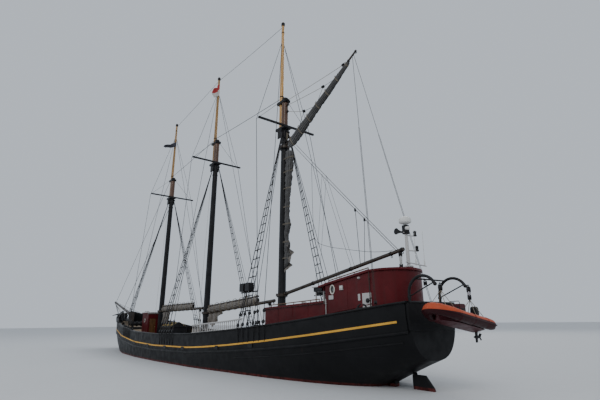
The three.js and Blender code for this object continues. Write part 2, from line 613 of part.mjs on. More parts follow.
// Shrouds with ratlines, joined at the mast by a hound block and at the rail by a channel
function gang(foot, crosstree, side) {
  const headZ = crosstree - 0.28;
  const out = CHEEK.outer + 2 * SEAT;
  const head = (i) => mastPoint(foot, -0.02 - 0.05 * i, side * (out + 0.04), headZ - 0.02 * i);
  const feet = SHROUD.feet.map((dx) => {
    const x = foot + dx;
    return vec(x, side * (railHalf(x) - 0.06), railTop(x) + 0.05);
  });
  const lines = feet.map((f, i) => rod(f, head(i), SHROUD.radius, SHROUD.radius, 4));
  const block0 = mastPoint(foot, -0.08, side * (out + 0.04), headZ);
  const hound = block(-0.12, 0.12, -0.04, 0.04, -0.13, 0.13).translate(block0.x * M, block0.y * M, block0.z * M);
  const rungs = [];
  for (let z = railTop(foot) + 0.9; z < crosstree - 1.4; z += SHROUD.step) {
    const at = (i) => {
      const [f, h] = [feet[i], head(i)];
      return f.clone().lerp(h, (z - f.z) / (h.z - f.z));
    };
    rungs.push(rod(at(0), at(feet.length - 1), SHROUD.rung, SHROUD.rung, 4));
  }
  const channel = loft(stationsWithin(foot + SHROUD.feet[2] - 0.15, foot + SHROUD.feet[0] + 0.15).map((x) => {
    const [y0, y1] = [railHalf(x) - 0.115, railHalf(x) - 0.005];
    const z = railTop(x) + SEAT;
    return [[x, side * y0, z], [x, side * y1, z], [x, side * y1, z + 0.08], [x, side * y0, z + 0.08]];
  }));
  return join([channel, hound, ...lines, ...rungs]);
}
for (const [name, foot, , crosstree] of MASTS) {
  add(`${name}_shrouds_port`, gang(foot, crosstree, 1), LOOK.wire);
  add(`${name}_shrouds_starboard`, gang(foot, crosstree, -1), LOOK.wire);
}

// Bowsprit and the main stays
const onBowsprit = (t) => {
  const [a, b] = [BOWSPRIT.heel, BOWSPRIT.end];
  return vec(lerp(a[0], b[0], t), 0, lerp(a[1], b[1], t));
};
{
  const spar = rod(onBowsprit(0), onBowsprit(1), BOWSPRIT.radius, BOWSPRIT.tip, 24);
  const bitts = block(BITTS.aft, BITTS.fore, -BITTS.half, BITTS.half, deckTop(BITTS.fore) + SEAT, BITTS.top);
  add('bowsprit', join([spar, bitts]), LOOK.varnish);
}
// A wire between two faces, each given by a point and its outward normal
function stay(name, [from, fromNormal], [to, toNormal], radius = STAY) {
  const lead = to.clone().sub(from).normalize();
  const end = (p, n) => p.clone().addScaledVector(n, SEAT + radius * Math.sqrt(1 - n.dot(lead) ** 2));
  add(name, rod(end(from, fromNormal), end(to, toNormal), radius, radius, 8), LOOK.wire);
}
{
  const [fore] = MASTS;
  const facing = vec(Math.cos(MAST.rake), 0, Math.sin(MAST.rake));
  const lower = ([, foot, , crosstree], z) => [mastPoint(foot, mastRadius(foot, crosstree, z), 0, z), facing];
  const [heel, end] = [BOWSPRIT.heel, BOWSPRIT.end];
  const slope = Math.atan2(end[1] - heel[1], end[0] - heel[0]);
  const onTop = (t, way = 1) => {
    const normal = vec(-way * Math.sin(slope), 0, way * Math.cos(slope));
    return [onBowsprit(t).addScaledVector(normal, lerp(BOWSPRIT.radius, BOWSPRIT.tip, t)), normal];
  };
  stay('forestay', lower(fore, fore[3] - FORESTAY.drop), onTop(FORESTAY.along));
  const stem = [vec(BOBSTAY.x, 0, BOBSTAY.z), vec(1.0, 0, -0.4).normalize()];
  stay('bobstay', stem, onTop(BOBSTAY.along, -1), BOBSTAY.radius);
}

// Ground tackle on the foredeck
for (const [name, side] of [['port', 1], ['starboard', -1]]) {
  const { x, inboard } = ANCHOR;
  const y = side * (railHalf(x) - inboard);
  const z = railTop(x) + SEAT;
  const shank = rod(vec(x - 0.9, y, z + 0.14), vec(x + 0.5, y, z + 0.25), 0.05, 0.05, 10);
  const flukes = rod(vec(x + 0.45, y - side * 0.05, z + 0.24), vec(x + 0.25, y + side * 0.55, z + 0.1), 0.07, 0.03, 8);
  const stock = rod(vec(x - 0.75, y - 0.5, z + 0.155), vec(x - 0.75, y + 0.5, z + 0.155), 0.03, 0.03, 8);
  const pad = block(x - 0.6, x - 0.2, y - 0.05, y + 0.05, z + 0.09, z + 0.17);
  const chock = loft([x - 0.5, x - 0.2].map((u) => {
    const [y0, y1] = [railHalf(u) - 0.11, railHalf(u) - 0.01];
    return [[u, side * y0, railTop(u) + SEAT], [u, side * y1, railTop(u) + SEAT], [u, side * y1, z + 0.14], [u, side * y0, z + 0.14]];
  }));
  add(`anchor_${name}`, join([shank, flukes, stock, pad, chock]), LOOK.steel);
}
{
  const { aft, fore, half: w, bed: rise, axle, drum, reach } = WINDLASS;
  const x = (aft + fore) / 2;
  const z = deckTop(x + 0.1);
  const posts = WINDLASS.posts.map((y) => block(x - 0.2, x + 0.2, y, y + 0.15, z + 0.02, z + 0.75));
  const barrel = rod(vec(x, -reach, z + axle), vec(x, reach, z + axle), drum, drum, 16);
  const bed = loft([aft, fore].map((u) => [
    [u, -w, deckTop(u) + SEAT], [u, w, deckTop(u) + SEAT], [u, w, z + rise], [u, -w, z + rise],
  ]));
  add('windlass', join([...posts, barrel, bed]), LOOK.steel);
}

// Steering wheel and its pedestal inside the wheelhouse
{
  const { x, hub, rim: wide, bar, spoke, spokeBar, ahead } = WHEEL;
  const foot = deckTop(x - 0.2) + 0.03;
  const column = block(x + 0.05, x + 0.35, -0.2, 0.2, deckTop(x + 0.4) + 0.04, hub + 0.25);
  const base = loft([x - 0.05, x + 0.5].map((u) => [
    [u, -0.3, deckTop(u) + SEAT], [u, 0.3, deckTop(u) + SEAT], [u, 0.3, foot + 0.08], [u, -0.3, foot + 0.08],
  ]));
  add('steering_pedestal', join([column, base]), LOOK.varnish);
  const rim = new THREE.TorusGeometry(wide * M, bar * M, 6, 20).rotateY(Math.PI / 2).translate((x - ahead) * M, 0, hub * M);
  const boss = rod(vec(x - 0.12, 0, hub), vec(x + 0.05 - SEAT, 0, hub), 0.08, 0.08, 16);
  const spokes = [0, 1, 2, 3].map((i) => {
    const t = rad(45 * i);
    const tip = (s) => vec(x - ahead, s * spoke * Math.cos(t), hub + s * spoke * Math.sin(t));
    return rod(tip(-1), tip(1), spokeBar, spokeBar, 5);
  });
  add('steering_wheel', join([rim, boss, ...spokes]), LOOK.varnish);
}

// Davits with their tie bar, and the falls down to the boat
const boatZ = (y) => BOAT.sternZ + (y - BOAT.stern) * BOAT.rise;
const FALL_Y = [0.97, -0.89];
{
  const { foot, side, radius, bend, centreZ, headAngle } = DAVIT;
  const cx = foot - bend;
  const parts = [];
  [1, -1].forEach((s, k) => {
    const steps = 10;
    const path = Array.from({ length: steps + 1 }, (_, i) => {
      const t = rad(lerp(0, 180 - headAngle, i / steps));
      return vec(cx + bend * Math.cos(t), s * side, centreZ + bend * Math.sin(t));
    });
    path.unshift(vec(foot, s * side, deckTop(foot - radius) + SEAT));
    parts.push(sweep(path, radius, vec(0, 1, 0)));
    const head = path[path.length - 1];
    const eye = vec(BOAT.x, FALL_Y[k], boatZ(FALL_Y[k]) + 0.42 + SEAT);
    parts.push(rod(head, vec(BOAT.x, FALL_Y[k], head.z - 0.15), 0.05, 0.05, 8));
    parts.push(rod(vec(BOAT.x, FALL_Y[k], head.z - 0.1), vec(BOAT.x, FALL_Y[k], head.z - 0.55), 0.06, 0.06, 8));
    parts.push(rod(vec(BOAT.x, FALL_Y[k], head.z - 0.5), eye, 0.02, 0.02, 8));
    parts.push(rod(vec(foot, s * side, deckTop(foot) + 0.1), vec(foot, s * side, deckTop(foot) + 0.2), 0.1, 0.1, 8));
  });
  parts.push(rod(vec(cx + bend * 0.5, side, centreZ + bend * 0.866), vec(cx + bend * 0.5, -side, centreZ + bend * 0.866), 0.03, 0.03, 8));
  add('davits', join(parts), LOOK.black);
}

// Inflatable boat with a rigid bottom, its bow to port
{
  const { x, bow, stern, beam, tube } = BOAT;
  const at = (u, v, w) => vec(x + u, v, boatZ(v) + w);
  // Plan of one tube from the stern to the bow: across, along, height, tube radius
  const plan = [
    [beam, stern - 0.22, -0.02, 0.05], [beam, stern, 0, tube], [beam, 0.7, 0, tube], [beam * 0.93, 1.03, 0.03, tube],
    [beam * 0.7, 1.3, 0.07, tube], [beam * 0.36, 1.51, 0.11, tube], [0, bow - tube, 0.13, tube],
  ];
  const mirrored = plan.slice(0, -1).reverse().map(([u, ...rest]) => [-u, ...rest]);
  const path = [...plan, ...mirrored];
  const tubeBody = sweep(path.map(([u, v, w]) => at(u, v, w)), path.map((p) => p[3]), vec(0, 0, 1), 12);
  add('boat_tube', tubeBody, LOOK.orange);

  // Rigid bottom between and under the tubes: along, half width inside, half width below, keel depth
  const inner = beam - tube - 2 * SEAT;
  const bottom = [[-0.86, inner, 0.5, -0.34], [0.66, inner, 0.5, -0.36], [0.98, 0.29, 0.4, -0.34], [1.32, 0.05, 0.1, -0.24]];
  const shell = loft(bottom.map(([v, w, low, keel]) => [
    at(-w, v, 0), at(w, v, 0), at(w, v, -0.14), at(low, v, -tube - 0.03), at(0, v, keel),
    at(-low, v, -tube - 0.03), at(-w, v, -0.14),
  ].map((p) => p.toArray())));
  const transom = block(x - inner + 0.03, x + inner - 0.03, -0.92, -0.84, boatZ(-0.88) - 0.2, boatZ(-0.88) + 0.28);
  const console = block(x - 0.2, x + 0.2, -0.2, 0.15, boatZ(0) - 0.1, boatZ(0) + 0.55);
  const eyes = FALL_Y.map((y) => rod(vec(x, y, boatZ(y) - 0.08), vec(x, y, boatZ(y) + 0.42), 0.03, 0.03, 8));
  add('boat_hull', join([shell, transom, console, ...eyes]), LOOK.maroon);

  const oy = -0.98;
  const oz = boatZ(oy);
  const cowl = block(x - 0.13, x + 0.13, oy - 0.28, oy - 0.0, oz + 0.28, oz + 0.62);
  const bracket = block(x - 0.07, x + 0.07, oy - 0.1, -0.92 - SEAT, oz + 0.1, oz + 0.3);
  const leg = block(x - 0.04, x + 0.04, oy - 0.16, oy - 0.02, oz - 0.55, oz + 0.3);
  const gear = rod(vec(x, oy - 0.2, oz - 0.48), vec(x, oy + 0.12, oz - 0.48), 0.06, 0.03, 10);
  const drop = block(x - 0.02, x + 0.02, oy - 0.1, oy + 0.02, oz - 0.68, oz - 0.5);
  add('outboard', join([cowl, bracket, leg, gear, drop]), LOOK.black);
  const hubStart = oy - 0.2 - SEAT;
  const hub = rod(vec(x, hubStart, oz - 0.48), vec(x, hubStart - 0.1, oz - 0.48), 0.045, 0.035, 12);
  const fans = [0, 1, 2].map((i) => {
    const g = new THREE.BoxGeometry(0.13 * M, 0.014 * M, 0.09 * M).rotateX(rad(35)).translate(0.075 * M, 0, 0);
    return g.rotateY(rad(120 * i)).translate(x * M, (hubStart - 0.05) * M, (oz - 0.48) * M);
  });
  add('outboard_propeller', join([hub, ...fans]), LOOK.black);
}

// Instrument pole at the after end of the wheelhouse roof
{
  const { x, radius, top } = POLE;
  const foot = wheelRoofCrown(x + POLE.flange) + SEAT;
  const pole = rod(vec(x, 0, foot), vec(x, 0, top), radius, 0.06, 16);
  const flange = block(x - POLE.flange, x + POLE.flange, -POLE.flange, POLE.flange, foot, foot + 0.04);
  const radar = rod(vec(x, 0, top - 0.02), vec(x, 0, top + 0.22), 0.26, 0.22, 20);
  const crossbar = rod(vec(x - 0.05, -0.55, 4.98), vec(x - 0.05, 0.2, 4.98), 0.03, 0.03, 8);
  const horn = rod(vec(x, 0, 6.35), vec(x + 0.05, 0.42, 6.35), 0.05, 0.15, 12);
  const lampArm = rod(vec(x, 0, 6.2), vec(x - 0.1, -0.35, 6.2), 0.03, 0.03, 8);
  const lamp = rod(vec(x - 0.1, -0.35, 6.12), vec(x - 0.1, -0.35, 6.42), 0.08, 0.08, 12);
  const lowArm = rod(vec(x, 0, 5.75), vec(x - 0.1, -0.35, 5.75), 0.03, 0.03, 8);
  const lowLamp = rod(vec(x - 0.1, -0.35, 5.68), vec(x - 0.1, -0.35, 5.92), 0.07, 0.07, 12);
  add('instrument_pole', join([pole, flange, radar, crossbar, horn, lampArm, lamp, lowArm, lowLamp]), LOOK.white);
}

export default ship;
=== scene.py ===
"""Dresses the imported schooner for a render: paint, canvas, rigging and deck gear on the fixed frame.

Sizes are the real ship's, in metres. SCALE turns them into the half-size model's metres.
x is from the main mast to the bow, y to port and z up from the water.
"""

import json
import math

import bmesh
import bpy
import numpy as np
from bpy.props import FloatProperty, FloatVectorProperty, PointerProperty
from mathutils import Matrix, Vector, noise
from mathutils.bvhtree import BVHTree

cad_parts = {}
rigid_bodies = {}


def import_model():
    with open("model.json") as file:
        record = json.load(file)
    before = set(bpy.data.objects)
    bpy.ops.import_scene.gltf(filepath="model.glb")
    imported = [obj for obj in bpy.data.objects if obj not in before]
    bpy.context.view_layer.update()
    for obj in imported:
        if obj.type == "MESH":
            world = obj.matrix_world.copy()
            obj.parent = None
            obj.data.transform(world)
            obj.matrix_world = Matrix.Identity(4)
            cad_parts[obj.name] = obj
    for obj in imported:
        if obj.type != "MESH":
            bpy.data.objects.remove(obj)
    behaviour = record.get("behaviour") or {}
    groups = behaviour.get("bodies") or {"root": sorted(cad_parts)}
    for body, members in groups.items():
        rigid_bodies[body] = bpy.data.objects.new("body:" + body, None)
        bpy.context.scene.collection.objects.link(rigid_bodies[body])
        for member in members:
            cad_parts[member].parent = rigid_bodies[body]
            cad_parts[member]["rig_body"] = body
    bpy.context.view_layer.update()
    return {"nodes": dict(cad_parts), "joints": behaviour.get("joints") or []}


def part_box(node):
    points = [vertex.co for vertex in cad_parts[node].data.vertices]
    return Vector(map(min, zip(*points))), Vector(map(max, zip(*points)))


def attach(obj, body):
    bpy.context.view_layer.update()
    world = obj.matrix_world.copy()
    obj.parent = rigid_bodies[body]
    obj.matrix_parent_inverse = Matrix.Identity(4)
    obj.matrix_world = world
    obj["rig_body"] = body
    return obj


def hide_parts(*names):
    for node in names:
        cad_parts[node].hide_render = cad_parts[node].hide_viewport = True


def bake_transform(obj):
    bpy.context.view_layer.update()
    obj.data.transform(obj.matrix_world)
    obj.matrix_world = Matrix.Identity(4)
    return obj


bl_info = {
    "name": "Schooner Dressing",
    "version": (1, 0, 0),
    "blender": (4, 5, 0),
    "location": "3D View > Sidebar > Schooner",
    "description": "Paints and rigs a three-masted gaff schooner around its packed frame",
    "category": "Object",
}

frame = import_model()
SCALE = 0.5
UP = Vector((0, 0, 1))
PORT = Vector((0, 1, 0))
AHEAD = Vector((1, 0, 0))
SIDES = {"port": 1, "starboard": -1}


# Points and lines, in the real ship's metres until they become a mesh


def at(x, y, z):
    return Vector((x, y, z))


def real(v):
    """A point of the model in the real ship's metres."""
    return Vector(v) / SCALE


def span(a, b, steps, sag=0.0):
    """Points from a to b, with a slack line's sag in the middle."""
    shares = [i / steps for i in range(steps + 1)]
    return [a.lerp(b, s) - UP * sag * 4 * s * (1 - s) for s in shares]


def spokes(u, v, steps):
    """The points all round an ellipse, from u towards v."""
    turns = (2 * math.pi * i / steps for i in range(steps))
    return [u * math.cos(t) + v * math.sin(t) for t in turns]


def ends_of(items, i):
    """The neighbours on both sides of an item, or the item itself at an end."""
    return items[max(i - 1, 0)], items[min(i + 1, len(items) - 1)]


def wobble(x, y=0.0, z=0.0):
    return noise.noise(Vector((x, y, z)))


class Table:
    """Straight lines between rows of x and values."""

    def __init__(self, rows):
        self.columns = list(zip(*sorted(rows)))

    def __call__(self, x, column=1):
        return float(np.interp(x, self.columns[0], self.columns[column]))

    def row(self, x):
        return [self(x, column) for column in range(1, len(self.columns))]


def sheer_table():
    """Rail height and half breadth along the ship, from the port bulwark."""
    best = {}
    for vertex in frame["nodes"]["bulwark_port"].data.vertices:
        p = real(vertex.co)
        key = round(p.x, 2)
        high = best.get(key, (key, 0.0, -9.0))
        if p.z > high[2] - 1e-3:
            best[key] = (key, max(p.y, high[1]) if p.z < high[2] + 1e-3 else p.y, p.z)
    return Table(best.values())


SHEER = sheer_table()
BULWARK = 1.0


def rail_half(x):
    return SHEER(x, 1)


def rail_top(x):
    return SHEER(x, 2)


def deck_z(x):
    return rail_top(x) - BULWARK


def on_deck(x, y, lift=0.0):
    return at(x, y, deck_z(x) + lift)


def on_rail(x, side, lift, out=-0.06):
    """A point above the rail, out from the ship's greatest breadth there."""
    return at(x, side * (rail_half(x) + out), rail_top(x) + lift)


def tree_of(*nodes):
    """A tree of these nodes' faces, for finding the ship's surface."""
    points, faces = [], []
    for name in nodes:
        mesh = frame["nodes"][name].data
        base = len(points)
        points += [real(v.co) for v in mesh.vertices]
        faces += [[base + i for i in p.vertices] for p in mesh.polygons]
    return BVHTree.FromPolygons(points, faces)


HULL_TREE = tree_of("hull", "bulwark_port", "bulwark_starboard")


def side_point(x, z, side=1, out=0.0):
    """A point on the ship's side, and its outward normal."""
    hit, normal = HULL_TREE.ray_cast(at(x, 9 * side, z), -PORT * side)[:2]
    if hit is None:
        raise RuntimeError(f"the ship has no side at {x:.2f}, {z:.2f}")
    if normal.y * side < 0:
        normal = -normal
    return hit + normal * out, normal


def inboard(x, side, lift, inset):
    """The y of a point inset from the ship's side, at a height over the deck."""
    return side_point(x, deck_z(x) + lift, side)[0].y - side * inset


class Mast:
    """A raked mast, read from the joint that its spars turn on."""

    foot_radius, head_radius = 0.25, 0.2
    topmast_ahead = 0.42

    def __init__(self, name):
        turn = next(j for j in frame["joints"] if j["name"] == f"{name}_boom_swing")
        self.axis = Vector(turn["axis"]).normalized()
        self.pivot = real(turn["pos_m"])
        self.ahead = Vector((self.axis.z, 0, -self.axis.x))
        heel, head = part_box(f"{name}_topmast")
        self.truck = real(head).z
        self.trees = real(heel).z + 0.35
        self.cap = self.trees + 2.2
        self.trees_half = real(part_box(f"{name}_crosstrees")[1]).y - 0.04
        self.foot = self.point(deck_z(self.pivot.x))

    def point(self, z, ahead=0.0, side=0.0):
        """A point beside the mast's axis at a height."""
        lift = (z - self.pivot.z) / self.axis.z
        return self.pivot + self.axis * lift + self.ahead * ahead + PORT * side

    def top(self, z, ahead=0.0, side=0.0):
        """A point beside the topmast's axis at a height."""
        return self.point(z, ahead + self.topmast_ahead, side)

    def radius(self, z):
        share = (z - self.foot.z) / (self.cap - self.foot.z)
        return self.foot_radius + (self.head_radius - self.foot_radius) * share
MASTS = {name: Mast(name) for name in ("fore", "main", "mizzen")}


# Meshes and pieces


def mesh_of(name, points, faces, edges=()):
    mesh = bpy.data.meshes.new(name)
    mesh.from_pydata([p * SCALE for p in points], edges, faces)
    mesh.validate()
    return mesh


def object_of(name, mesh):
    piece = bpy.data.objects.new(name, mesh)
    bpy.context.scene.collection.objects.link(piece)
    return piece


class Shape:
    """Closed forms gathered into one mesh, in the real ship's metres."""

    def __init__(self):
        self.points = []
        self.faces = []

    def add(self, points, faces):
        base = len(self.points)
        self.points += points
        self.faces += [[base + i for i in face] for face in faces]
        return self

    def loft(self, rings, closed=False):
        """A skin through rings that hold the same number of points, capped unless it closes on itself."""
        n = len(rings[0])
        faces = []
        for i in range(len(rings) if closed else len(rings) - 1):
            a, b = i * n, (i + 1) % len(rings) * n
            faces += [[a + j, a + (j + 1) % n, b + (j + 1) % n, b + j] for j in range(n)]
        if not closed:
            faces += [list(range(n))[::-1], [(len(rings) - 1) * n + j for j in range(n)]]
        return self.add([p for ring in rings for p in ring], faces)

    def box(self, low, high):
        (x0, y0, z0), (x1, y1, z1) = low, high
        corners = [at(x, y, z) for z in (z0, z1) for y in (y0, y1) for x in (x0, x1)]
        faces = [[0, 2, 3, 1], [4, 5, 7, 6], [0, 1, 5, 4], [2, 6, 7, 3], [0, 4, 6, 2], [1, 3, 7, 5]]
        return self.add(corners, faces)

    def rod(self, a, b, start, end=None, sides=12):
        """A round bar with a radius at each end."""
        return self.lathe(a, b, [(0, start), (1, start if end is None else end)], sides)

    def lathe(self, a, b, profile, sides=16):
        """Turned about the line from a to b: share of the way along, radius."""
        lead = (b - a).normalized()
        u = lead.orthogonal().normalized()
        around = spokes(u, lead.cross(u), sides)
        return self.loft([[a.lerp(b, share) + out * radius for out in around] for share, radius in profile])

    def ball(self, centre, radius):
        rings, start = 8, 0.15
        shares = [0.5 - 0.5 * math.cos(math.pi * (i + start) / (rings + 2 * start)) for i in range(rings + 1)]
        profile = [(s, radius * math.sqrt(max(1 - (2 * s - 1) ** 2, 0.0))) for s in shares]
        return self.lathe(centre - UP * radius, centre + UP * radius, profile, 12)

    def sweep(self, path, section, side, sizes=None):
        """A section of across and up pairs, carried along a path with a steady side direction."""
        rings = []
        for i, p in enumerate(path):
            before, after = ends_of(path, i)
            lead = (after - before).normalized()
            across = side(p) if callable(side) else side
            across = (across - lead * across.dot(lead)).normalized()
            up = lead.cross(across)
            size = sizes[i] if sizes else 1.0
            rings.append([p + (across * u + up * w) * size for u, w in section])
        return self.loft(rings)

    def torus(self, centre, radius, tube, normal, sides=8, steps=20):
        normal = normal.normalized()
        u = normal.orthogonal().normalized()
        rings = [[centre + out * radius + p for p in spokes(out * tube, normal * tube, sides)]
                 for out in spokes(u, normal.cross(u), steps)]
        return self.loft(rings, closed=True)

    def mesh(self, name, angle=35.0):
        """The gathered mesh with its faces turned outwards and its creases kept sharp."""
        mesh = mesh_of(name, self.points, self.faces)
        soften(mesh, angle)
        return mesh


def shapes(count):
    return [Shape() for _ in range(count)]


def soften(mesh, angle):
    work = bmesh.new()
    work.from_mesh(mesh)
    bmesh.ops.recalc_face_normals(work, faces=work.faces)
    work.to_mesh(mesh)
    work.free()
    smooth_below(mesh, angle)


def smooth_below(mesh, angle):
    """Smooth shading, with an edge kept sharp where it turns by more than the angle."""
    mesh.shade_smooth()
    mesh.set_sharp_from_angle(angle=math.radians(angle))


def round_section(radius, sides=8):
    return [(p.x, p.y) for p in spokes(AHEAD * radius, PORT * radius, sides)]


def plank_section(width, thick, edge=0.25):
    """A flat bar's section with its corners taken off."""
    w, t = width / 2, thick / 2
    c = min(w, t) * edge
    half = [(w, c - t), (w, t - c), (w - c, t), (c - w, t)]
    return half + [(-across, -up) for across, up in half]


def turned(low, high, profile, sides):
    """A form turned about an upright axis, to be set at places."""
    return Shape().lathe(UP * low, UP * high, profile, sides)


def settle(piece, material, body="ship", replaces=()):
    """Gives a finished piece its material, its body, and the node that it stands for."""
    if material:
        piece.data.materials.clear()
        piece.data.materials.append(LOOKS[material])
    if body:
        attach(piece, body)
    if replaces:
        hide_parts(*replaces)
    return piece


def place(name, shape, material, body="ship", slot=None, replaces=(), angle=35.0, bevel=0.0):
    piece = object_of(name, shape.mesh(name, angle))
    soft_edges(piece, bevel)
    return settle(piece, material, body, replaces)


def place_all(material, **shapes_by_name):
    """Places pieces of one material that ride the ship."""
    for name, shape in shapes_by_name.items():
        place(name, shape, material)


def soft_edges(piece, width):
    if not width:
        return
    bevel = piece.modifiers.new("Edges", "BEVEL")
    bevel.width = width * SCALE
    bevel.segments = 2
    bevel.limit_method = "ANGLE"
    bevel.angle_limit = math.radians(35)
    bevel.harden_normals = False


WELD = 2e-5


def skin(node, material, slot, bevel=0.0, angle=32.0):
    """A welded, softly shaded copy of a CAD node, which stands for it."""
    source = frame["nodes"][node].data
    mesh = bpy.data.meshes.new(node)
    mesh.from_pydata([v.co.copy() for v in source.vertices], [], [list(p.vertices) for p in source.polygons])
    work = bmesh.new()
    work.from_mesh(mesh)
    bmesh.ops.remove_doubles(work, verts=work.verts, dist=WELD)
    bmesh.ops.dissolve_limit(work, angle_limit=math.radians(0.6), verts=work.verts, edges=work.edges)
    work.to_mesh(mesh)
    work.free()
    smooth_below(mesh, angle)
    piece = object_of(f"{node}_skin", mesh)
    soft_edges(piece, bevel)
    return settle(piece, material, frame["nodes"][node]["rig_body"], [node])


def skins(nodes, material, slot, **shading):
    for node in nodes:
        skin(node, material, slot, **shading)


# Geometry Nodes: lines that become rope, and one form set at many places


class Tree:
    """A small builder for node trees."""

    def __init__(self, name, inputs):
        self.group = bpy.data.node_groups.new(name, "GeometryNodeTree")
        face = self.group.interface
        face.new_socket("Geometry", in_out="INPUT", socket_type="NodeSocketGeometry")
        for label, kind in inputs:
            face.new_socket(label, in_out="INPUT", socket_type=kind)
        face.new_socket("Geometry", in_out="OUTPUT", socket_type="NodeSocketGeometry")
        self.start = self.group.nodes.new("NodeGroupInput")
        self.end = self.group.nodes.new("NodeGroupOutput")

    def node(self, kind, links=(), **values):
        made = self.group.nodes.new(kind)
        for key, value in values.items():
            setattr(made, key, value)
        for socket, source in links:
            self.group.links.new(source, made.inputs[socket])
        return made

    def attribute(self, name, kind):
        made = self.node("GeometryNodeInputNamedAttribute", data_type=kind)
        made.inputs["Name"].default_value = name
        return made.outputs["Attribute"]

    def close(self, geometry):
        real_mesh = self.node("GeometryNodeRealizeInstances", [("Geometry", geometry)])
        painted = self.node("GeometryNodeSetMaterial", [
            ("Geometry", real_mesh.outputs["Geometry"]), ("Material", self.start.outputs["Material"])])
        self.group.links.new(painted.outputs["Geometry"], self.end.inputs["Geometry"])
        return self.group


def rope_tree():
    """Each line of edges becomes a round rope, as thick as its points say."""
    tree = Tree("Rope along lines", [("Sides", "NodeSocketInt"), ("Material", "NodeSocketMaterial")])
    curve = tree.node("GeometryNodeMeshToCurve", [("Mesh", tree.start.outputs["Geometry"])])
    section = tree.node("GeometryNodeCurvePrimitiveCircle", [("Resolution", tree.start.outputs["Sides"])])
    section.inputs["Radius"].default_value = 1.0
    rope = tree.node("GeometryNodeCurveToMesh", [
        ("Curve", curve.outputs["Curve"]), ("Profile Curve", section.outputs["Curve"]),
        ("Scale", tree.attribute("thick", "FLOAT"))])
    rope.inputs["Fill Caps"].default_value = True
    smooth = tree.node("GeometryNodeSetShadeSmooth", [("Geometry", rope.outputs["Mesh"])])
    return tree.close(smooth.outputs["Geometry"])


def repeat_tree():
    """One form at every point, turned and sized as the point says."""
    tree = Tree("Form at points", [("Form", "NodeSocketObject"), ("Material", "NodeSocketMaterial")])
    form = tree.node("GeometryNodeObjectInfo", [("Object", tree.start.outputs["Form"])])
    turned = tree.node("FunctionNodeEulerToRotation", [("Euler", tree.attribute("turn", "FLOAT_VECTOR"))])
    copies = tree.node("GeometryNodeInstanceOnPoints", [
        ("Points", tree.start.outputs["Geometry"]), ("Instance", form.outputs["Geometry"]),
        ("Rotation", turned.outputs["Rotation"]), ("Scale", tree.attribute("size", "FLOAT_VECTOR"))])
    return tree.close(copies.outputs["Instances"])


def grown(name, points, edges, marks, tree, values):
    """Runs a tree on points or lines that carry marks, and keeps the plain mesh that it makes."""
    mesh = mesh_of(name, points, [], edges)
    for label, data in marks.items():
        kind, field = ("FLOAT_VECTOR", "vector") if len(data) > len(points) else ("FLOAT", "value")
        mesh.attributes.new(label, kind, "POINT").data.foreach_set(field, data)
    piece = object_of(name, mesh)
    modifier = piece.modifiers.new("Grow", "NODES")
    modifier.node_group = TREES[tree]
    sockets = {s.name: s.identifier for s in TREES[tree].interface.items_tree if s.in_out == "INPUT"}
    for label, value in values.items():
        modifier[sockets[label]] = value
    bpy.context.view_layer.update()
    graph = bpy.context.evaluated_depsgraph_get()
    piece.data = bpy.data.meshes.new_from_object(piece.evaluated_get(graph))
    piece.modifiers.remove(modifier)
    for label in marks:
        if label in piece.data.attributes:
            piece.data.attributes.remove(piece.data.attributes[label])
    return piece


def ropes(name, lines, material, body="ship", sides=6, replaces=()):
    """Ropes along lines, each a list of points and a radius. One piece holds them all."""
    points, edges, thick = [], [], []
    for path, radius in lines:
        base = len(points)
        points += path
        edges += [(base + i, base + i + 1) for i in range(len(path) - 1)]
        thick += [radius * SCALE] * len(path)
    values = {"Sides": sides, "Material": LOOKS[material]}
    piece = grown(name, points, edges, {"thick": thick}, "rope", values)
    return settle(piece, None, body, replaces)


def facing(lead, side=None):
    """The turn that lays a form's own z along lead and its y along side."""
    z = lead.normalized()
    y = side or z.orthogonal()
    y = (y - z * y.dot(z)).normalized()
    x = y.cross(z)
    return Matrix((x, y, z)).transposed()


def repeats(name, form, places, material, body="ship", angle=35.0):
    """A form made once and set at places: each a point to stand upright on, or a point, a turn and a size."""
    places = [p if isinstance(p, tuple) else (p, Matrix.Identity(3), 1.0) for p in places]
    mould = object_of(f"{name}_mould", form.mesh(f"{name}_mould", angle))
    marks = {"turn": [a for _, turn, _ in places for a in turn.to_euler()],
             "size": [size for *_, size in places for _ in range(3)]}
    values = {"Form": mould, "Material": LOOKS[material]}
    piece = grown(name, [p for p, *_ in places], [], marks, "repeat", values)
    bpy.data.objects.remove(mould)
    return settle(piece, None, body)


TREES = {"rope": rope_tree(), "repeat": repeat_tree()}


# Filled by the first operator
LOOKS = {}


# Materials, all on Object coordinates


# Strength of the shine of every finish, low for a dull day
SHEEN = 0.16


